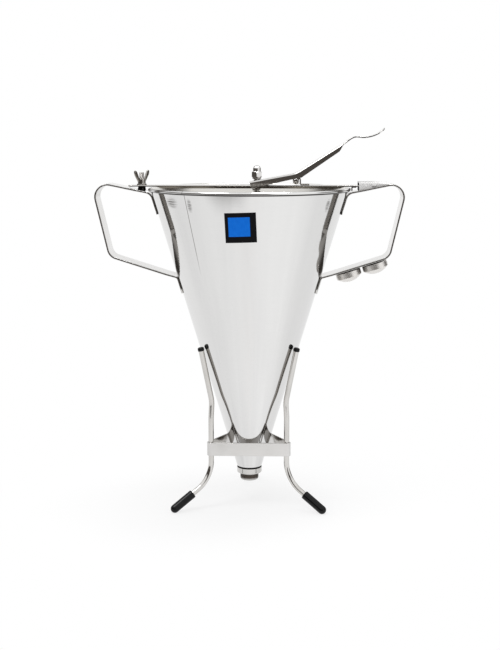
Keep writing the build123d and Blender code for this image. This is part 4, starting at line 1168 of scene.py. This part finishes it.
# Painted reflections: the floor's tone in mirrors, darker in some directions round it.
sides = node(tree, "ShaderNodeValToRGB", {0: round_share})
sides.color_ramp.interpolation = "B_SPLINE"
sides.color_ramp.elements[0].color = sides.color_ramp.elements[1].color = (0.97, 0.965, 0.96, 1)
for turn_share, tone in ((0.055, 0.94), (0.11, 0.92), (0.17, 0.88), (0.25, 0.86), (0.32, 0.90),
                         (0.50, 0.90), (0.66, 0.89), (0.75, 0.86), (0.81, 0.97), (0.95, 1.0)):
    sides.color_ramp.elements.new(turn_share).color = (tone, tone, tone, 1)
# Painted reflection of the dark room past a slanting front edge of the table.
table_edge = rising(tree, reckoned(tree, "MULTIPLY_ADD", across, 0.35, ahead), -0.52, -0.66,
                    kind="SMOOTHSTEP")
past_edge = mixed(tree, table_edge, sides.outputs[0], (0.07, 0.062, 0.055))
shown = mixed(tree, rays["Is Camera Ray"], past_edge, (1, 1, 1))
glow = node(tree, "ShaderNodeEmission", {"Color": shown, "Strength": 1.0})
blend = node(tree, "ShaderNodeMixShader",
             {0: product(tree, far_off, seen),
              1: tree.nodes["Principled BSDF"].outputs[0], 2: glow.outputs[0]})
tree.links.new(blend.outputs[0], tree.nodes["Material Output"].inputs["Surface"])
floor.data.materials.append(pale)

# ---- Light ---------------------------------------------------------------------------------
# A pale backdrop and ceiling, a dark room low down at the sides and in front, with a white
# screen on the right, a dark strip of wall above the backdrop, and two soft lamps.

world = bpy.data.worlds.new("studio")
bpy.context.scene.world = world
world.use_nodes = True
tree = world.node_tree
way = node(tree, "ShaderNodeTexCoord").outputs["Generated"]
_, ahead, up = apart(tree, way)
low_room = product(tree, rising(tree, ahead, 0.86, 0.55, kind="SMOOTHSTEP"),
                   rising(tree, up, 0.40, 0.335, kind="SMOOTHSTEP"))
screen_way = (0.81, -0.57, 0.14)
beside_screen = rising(tree, vectors(tree, "DOT_PRODUCT", way, screen_way), 0.90, 0.82,
                       kind="SMOOTHSTEP")
strip = product(tree, rising(tree, up, 0.30, 0.36), rising(tree, up, 0.70, 0.60))
dark = reckoned(tree, "MAXIMUM", product(tree, low_room, beside_screen),
                product(tree, rising(tree, ahead, 0.45, 0.65), strip))
rays = node(tree, "ShaderNodeLightPath").outputs
mirrored = reckoned(tree, "MAXIMUM", rays["Is Glossy Ray"], rays["Is Transmission Ray"])
walls = mixed(tree, dark, (1, 1, 1), (0.085, 0.076, 0.068))
lit_room = mixed(tree, mirrored, (0.70, 0.70, 0.705), walls)
tree.links.new(mixed(tree, rays["Is Camera Ray"], lit_room, (1, 1, 1)),
               tree.nodes["Background"].inputs["Color"])
for name, place, size, power, turn in (
        ("left_softbox", (-0.75, -0.45, 1.75), 0.6, 8.0, (0.262, -0.464, 0.0)),
        ("top_softbox", (0.25, 0.10, 1.6), 0.45, 8.0, (-0.06, 0.155, 0.0))):
    lamp = bpy.data.objects.new(name, bpy.data.lights.new(name, "AREA"))
    lamp.data.size, lamp.data.energy = size, power
    lamp.location, lamp.rotation_euler = place, turn
    bpy.context.scene.collection.objects.link(lamp)

# ---- Camera --------------------------------------------------------------------------------
# It stands at a table's length in front of the object, a little above its rim.

camera = bpy.data.objects.new("camera", bpy.data.cameras.new("camera"))
camera.data.lens, camera.data.sensor_width = 62.53, 36.0
camera.location = (0.0313, -1.15, 0.3849)
camera.rotation_euler = (math.radians(90 - 9.72), 0, math.radians(1.53))
bpy.context.scene.collection.objects.link(camera)
bpy.context.scene.camera = camera

bpy.context.scene.view_settings.view_transform = "Standard"
